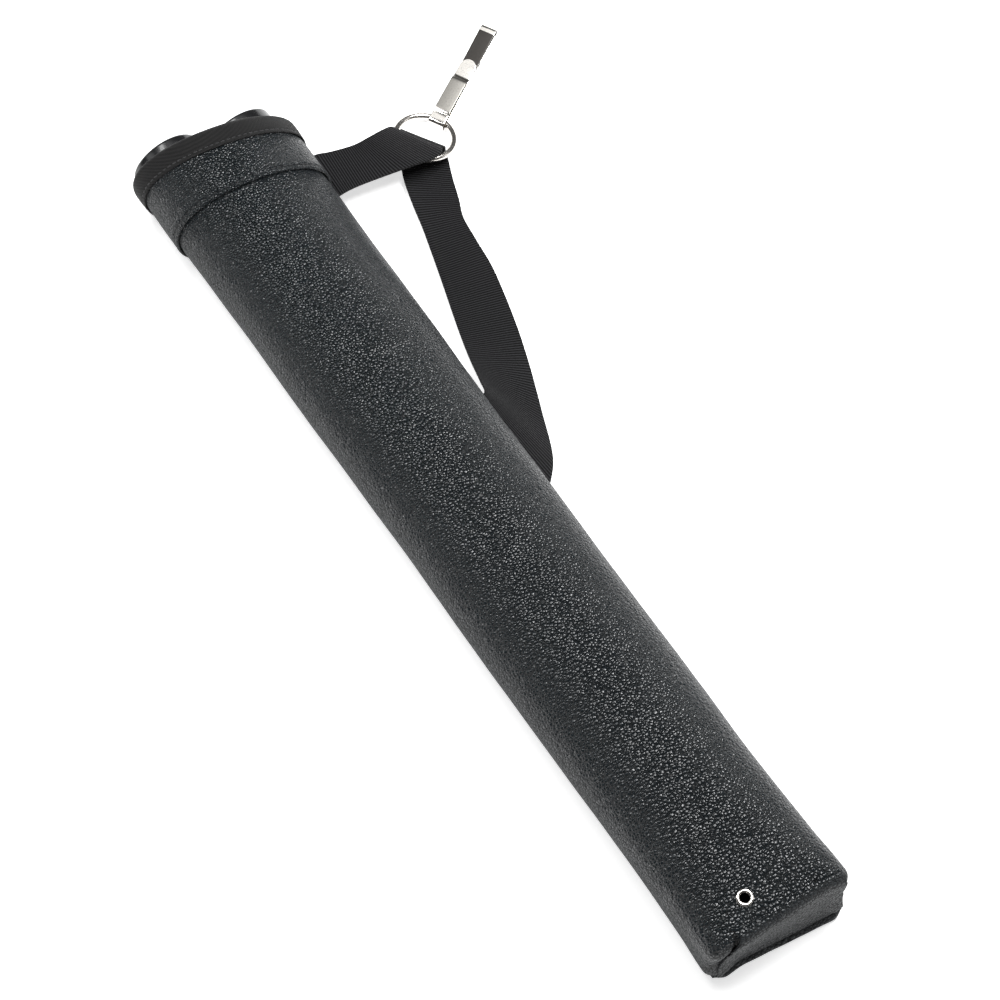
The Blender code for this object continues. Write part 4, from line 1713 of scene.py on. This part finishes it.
def sewn_seams() -> list[Seam]:
    """Every seam on the shell.

    Returns:
        The seams: hem, tape, back strip and the strap's two boxed ends.
    """
    seams = [ring_seam(-34.25, 1.42, 3.1), ring_seam(-8.75, 2.5, 2.9)]
    seams += [flank_seam(((angle, -220.0), (angle, 176.0)), 1.55) for angle in (-132.6, -147.4)]
    seams.append(flank_seam(((-30.0, 196.0), (-49.0, 196.0), (-49.0, 215.0), (-30.0, 215.0), (-30.0, 196.0),
                             (-49.0, 215.0)), 3.5, 2.6))
    lower_box = ((-32.0, 43.0), (-51.0, 26.5), (-51.0, -27.0), (-32.0, -10.5), (-32.0, 43.0))
    seams.append(flank_seam(lower_box, 1.85, 2.8))
    return seams


# --- studio ---------------------------------------------------------------------------------


@dataclass(frozen=True)
class SoftLight:
    """A large soft light that looks at the object."""

    name: str
    place: tuple[float, float, float]
    size: tuple[float, float]
    power: float
    aim: tuple[float, float, float] = (0.0, 0.0, 0.02)
    level_turn: Optional[float] = None

    def build(self) -> bpy.types.Object:
        """Add the light.

        Returns:
            The light.
        """
        data = bpy.data.lights.new(self.name, "AREA")
        data.shape = "RECTANGLE"
        data.size, data.size_y = self.size
        data.energy = self.power
        light = bpy.data.objects.new(self.name, data)
        bpy.context.scene.collection.objects.link(light)
        light.location = self.place
        light.rotation_euler = (Vector(self.aim) - light.location).to_track_quat("-Z", "Y").to_euler()
        if self.level_turn is not None:
            light.rotation_euler = (0.0, 0.0, self.level_turn)
        light.visible_camera = False
        return light


@dataclass
class Studio:
    """Pale floor, soft lights, even surroundings and the camera."""

    floor: bpy.types.Material
    surroundings: float = 0.09
    azimuth: float = math.radians(-34.2)
    elevation: float = math.radians(67.0)
    distance: float = 2.0
    aim: tuple[float, float, float] = (0.01395, 0.0, 0.023)
    lens: float = 150.6

    def ahead(self, along: float, across: float, up: float) -> tuple[float, float, float]:
        """A place given by distances beyond the object as the camera sees it, to its right and up."""
        forward = Vector((-math.sin(self.azimuth), math.cos(self.azimuth), 0.0))
        right = Vector((math.cos(self.azimuth), math.sin(self.azimuth), 0.0))
        return tuple(forward * along + right * across + Vector((0.0, 0.0, up)))

    def build(self) -> None:
        """Build the whole studio."""
        scene = bpy.context.scene
        scene.view_settings.view_transform = "Standard"
        mesh = bpy.data.meshes.new("floor")
        reach = 6.0
        corners = [(x * reach, y * reach, 0.0) for x, y in ((-1, -1), (1, -1), (1, 1), (-1, 1))]
        mesh.from_pydata(corners, [], [(0, 1, 2, 3)])
        mesh.materials.append(self.floor)
        floor = bpy.data.objects.new("floor", mesh)
        floor.location.z = -0.0002
        scene.collection.objects.link(floor)
        floor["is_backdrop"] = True
        world = bpy.data.worlds.new("surroundings")
        scene.world = world
        world.use_nodes = True
        graph = Graph(world.node_tree)
        sky = graph.add("ShaderNodeBackground", None,
                        {"Color": (1.0, 1.0, 1.0, 1.0), "Strength": self.surroundings})
        graph.add("ShaderNodeOutputWorld", None, {"Surface": sky.outputs[0]})
        for light in (
            SoftLight("key", self.ahead(0.55, 0.46, 1.4), (0.36, 1.0), 32.0, level_turn=self.azimuth),
            SoftLight("key_left", self.ahead(0.5, -0.55, 1.4), (0.28, 1.0), 13.0, level_turn=self.azimuth),
            SoftLight("overhead", self.ahead(1.25, 0.0, 1.6), (1.2, 0.62), 2.4, level_turn=self.azimuth),
            SoftLight("left_side", self.ahead(0.1, -1.4, 1.0), (0.6, 0.6), 2.2),
            SoftLight("right_side", self.ahead(0.1, 1.5, 0.7), (0.6, 0.6), 2.0),
            SoftLight("front_fill", self.ahead(-1.2, -0.2, 1.6), (0.8, 0.8), 0.8),
        ):
            light.build()
        self.camera()

    def camera(self) -> bpy.types.Object:
        """Add the camera.

        Returns:
            The camera.
        """
        data = bpy.data.cameras.new("camera")
        data.sensor_width = 36.0
        data.lens = self.lens
        data.clip_start, data.clip_end = 0.05, 30.0
        camera = bpy.data.objects.new("camera", data)
        bpy.context.scene.collection.objects.link(camera)
        back = Vector((math.sin(self.azimuth) * math.cos(self.elevation),
                       -math.cos(self.azimuth) * math.cos(self.elevation), math.sin(self.elevation)))
        camera.location = Vector(self.aim) + back * self.distance
        camera.rotation_euler = (-back).to_track_quat("-Z", "Y").to_euler()
        bpy.context.scene.camera = camera
        return camera


# --- the quiver -----------------------------------------------------------------------------


@dataclass
class Quiver:
    """The whole quiver, built from its sub-assemblies."""

    leather: bpy.types.Material = field(default_factory=lambda: PebbledLeather().material())
    lining: bpy.types.Material = field(default_factory=lambda: CellFoam(
        name="felt_lining", tone=(0.012, 0.012, 0.013)).material())
    tape: bpy.types.Material = field(default_factory=lambda: TwillTape().material())
    webbing: bpy.types.Material = field(default_factory=lambda: RibbedWebbing().material())
    plastic: bpy.types.Material = field(default_factory=lambda: MouldedPlastic().material())
    nickel: bpy.types.Material = field(default_factory=lambda: PlatedMetal().material())
    steel: bpy.types.Material = field(default_factory=lambda: BrushedSteel().material())
    # Darker copies of the spring steel that paint shade onto the clip: the first, also rougher, on the front bar;
    # the second, near-black, on the strip's edges and bare spine.
    satin: bpy.types.Material = field(default_factory=lambda: BrushedSteel(
        name="satin_shaded_spring_steel", tone=(0.20, 0.193, 0.178), roughness=0.34, spotting=0.7).material())
    dark_shade_steel: bpy.types.Material = field(default_factory=lambda: BrushedSteel(
        name="painted_shade_steel", tone=(0.032, 0.030, 0.028), roughness=0.36, spotting=0.3).material())
    foam: bpy.types.Material = field(default_factory=lambda: CellFoam().material())
    thread: bpy.types.Material = field(default_factory=lambda: SpunThread().material())

    def build(self) -> None:
        """Build every sub-assembly."""
        Sleeve(self.leather, self.lining).build()
        EndFlap(self.leather).build()
        Mouth(self.leather, self.tape).build()
        BackSeam(self.leather).build()
        BasePad(self.foam).build()
        ArrowTube("left_arrow_tube", Body.LEFT_TUBE, "arrow_tube_left", -20.0, 245.5, self.plastic).build()
        ArrowTube("right_arrow_tube", Body.RIGHT_TUBE, "arrow_tube_right", 17.2, 237.5, self.plastic).build()
        Eyelet(self.nickel).build()
        Strap(self.webbing).build()
        SteelRing(self.nickel).build()
        BeltClip(self.steel, self.satin, self.dark_shade_steel).build()
        Stitching(self.thread, sewn_seams()).build()


def write_size() -> None:
    """Log the sizes of the CAD box and the visual model's box."""
    measured = (("cad", CAD_BOX), ("visual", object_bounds()))
    boxes = {key: [list(corner) for corner in corners] for key, corners in measured}
    for key, (low, high) in boxes.items():
        LOG.info("%s box: %s mm", key, [round((b - a) / MM, 1) for a, b in zip(low, high)])


def main() -> None:
    """Build the quiver in its studio."""
    logging.basicConfig(level=logging.INFO, format="%(name)s: %(message)s")
    Quiver().build()
    Studio(StudioFloor().material()).build()
    write_size()


if __name__ == "__main__":
    main()
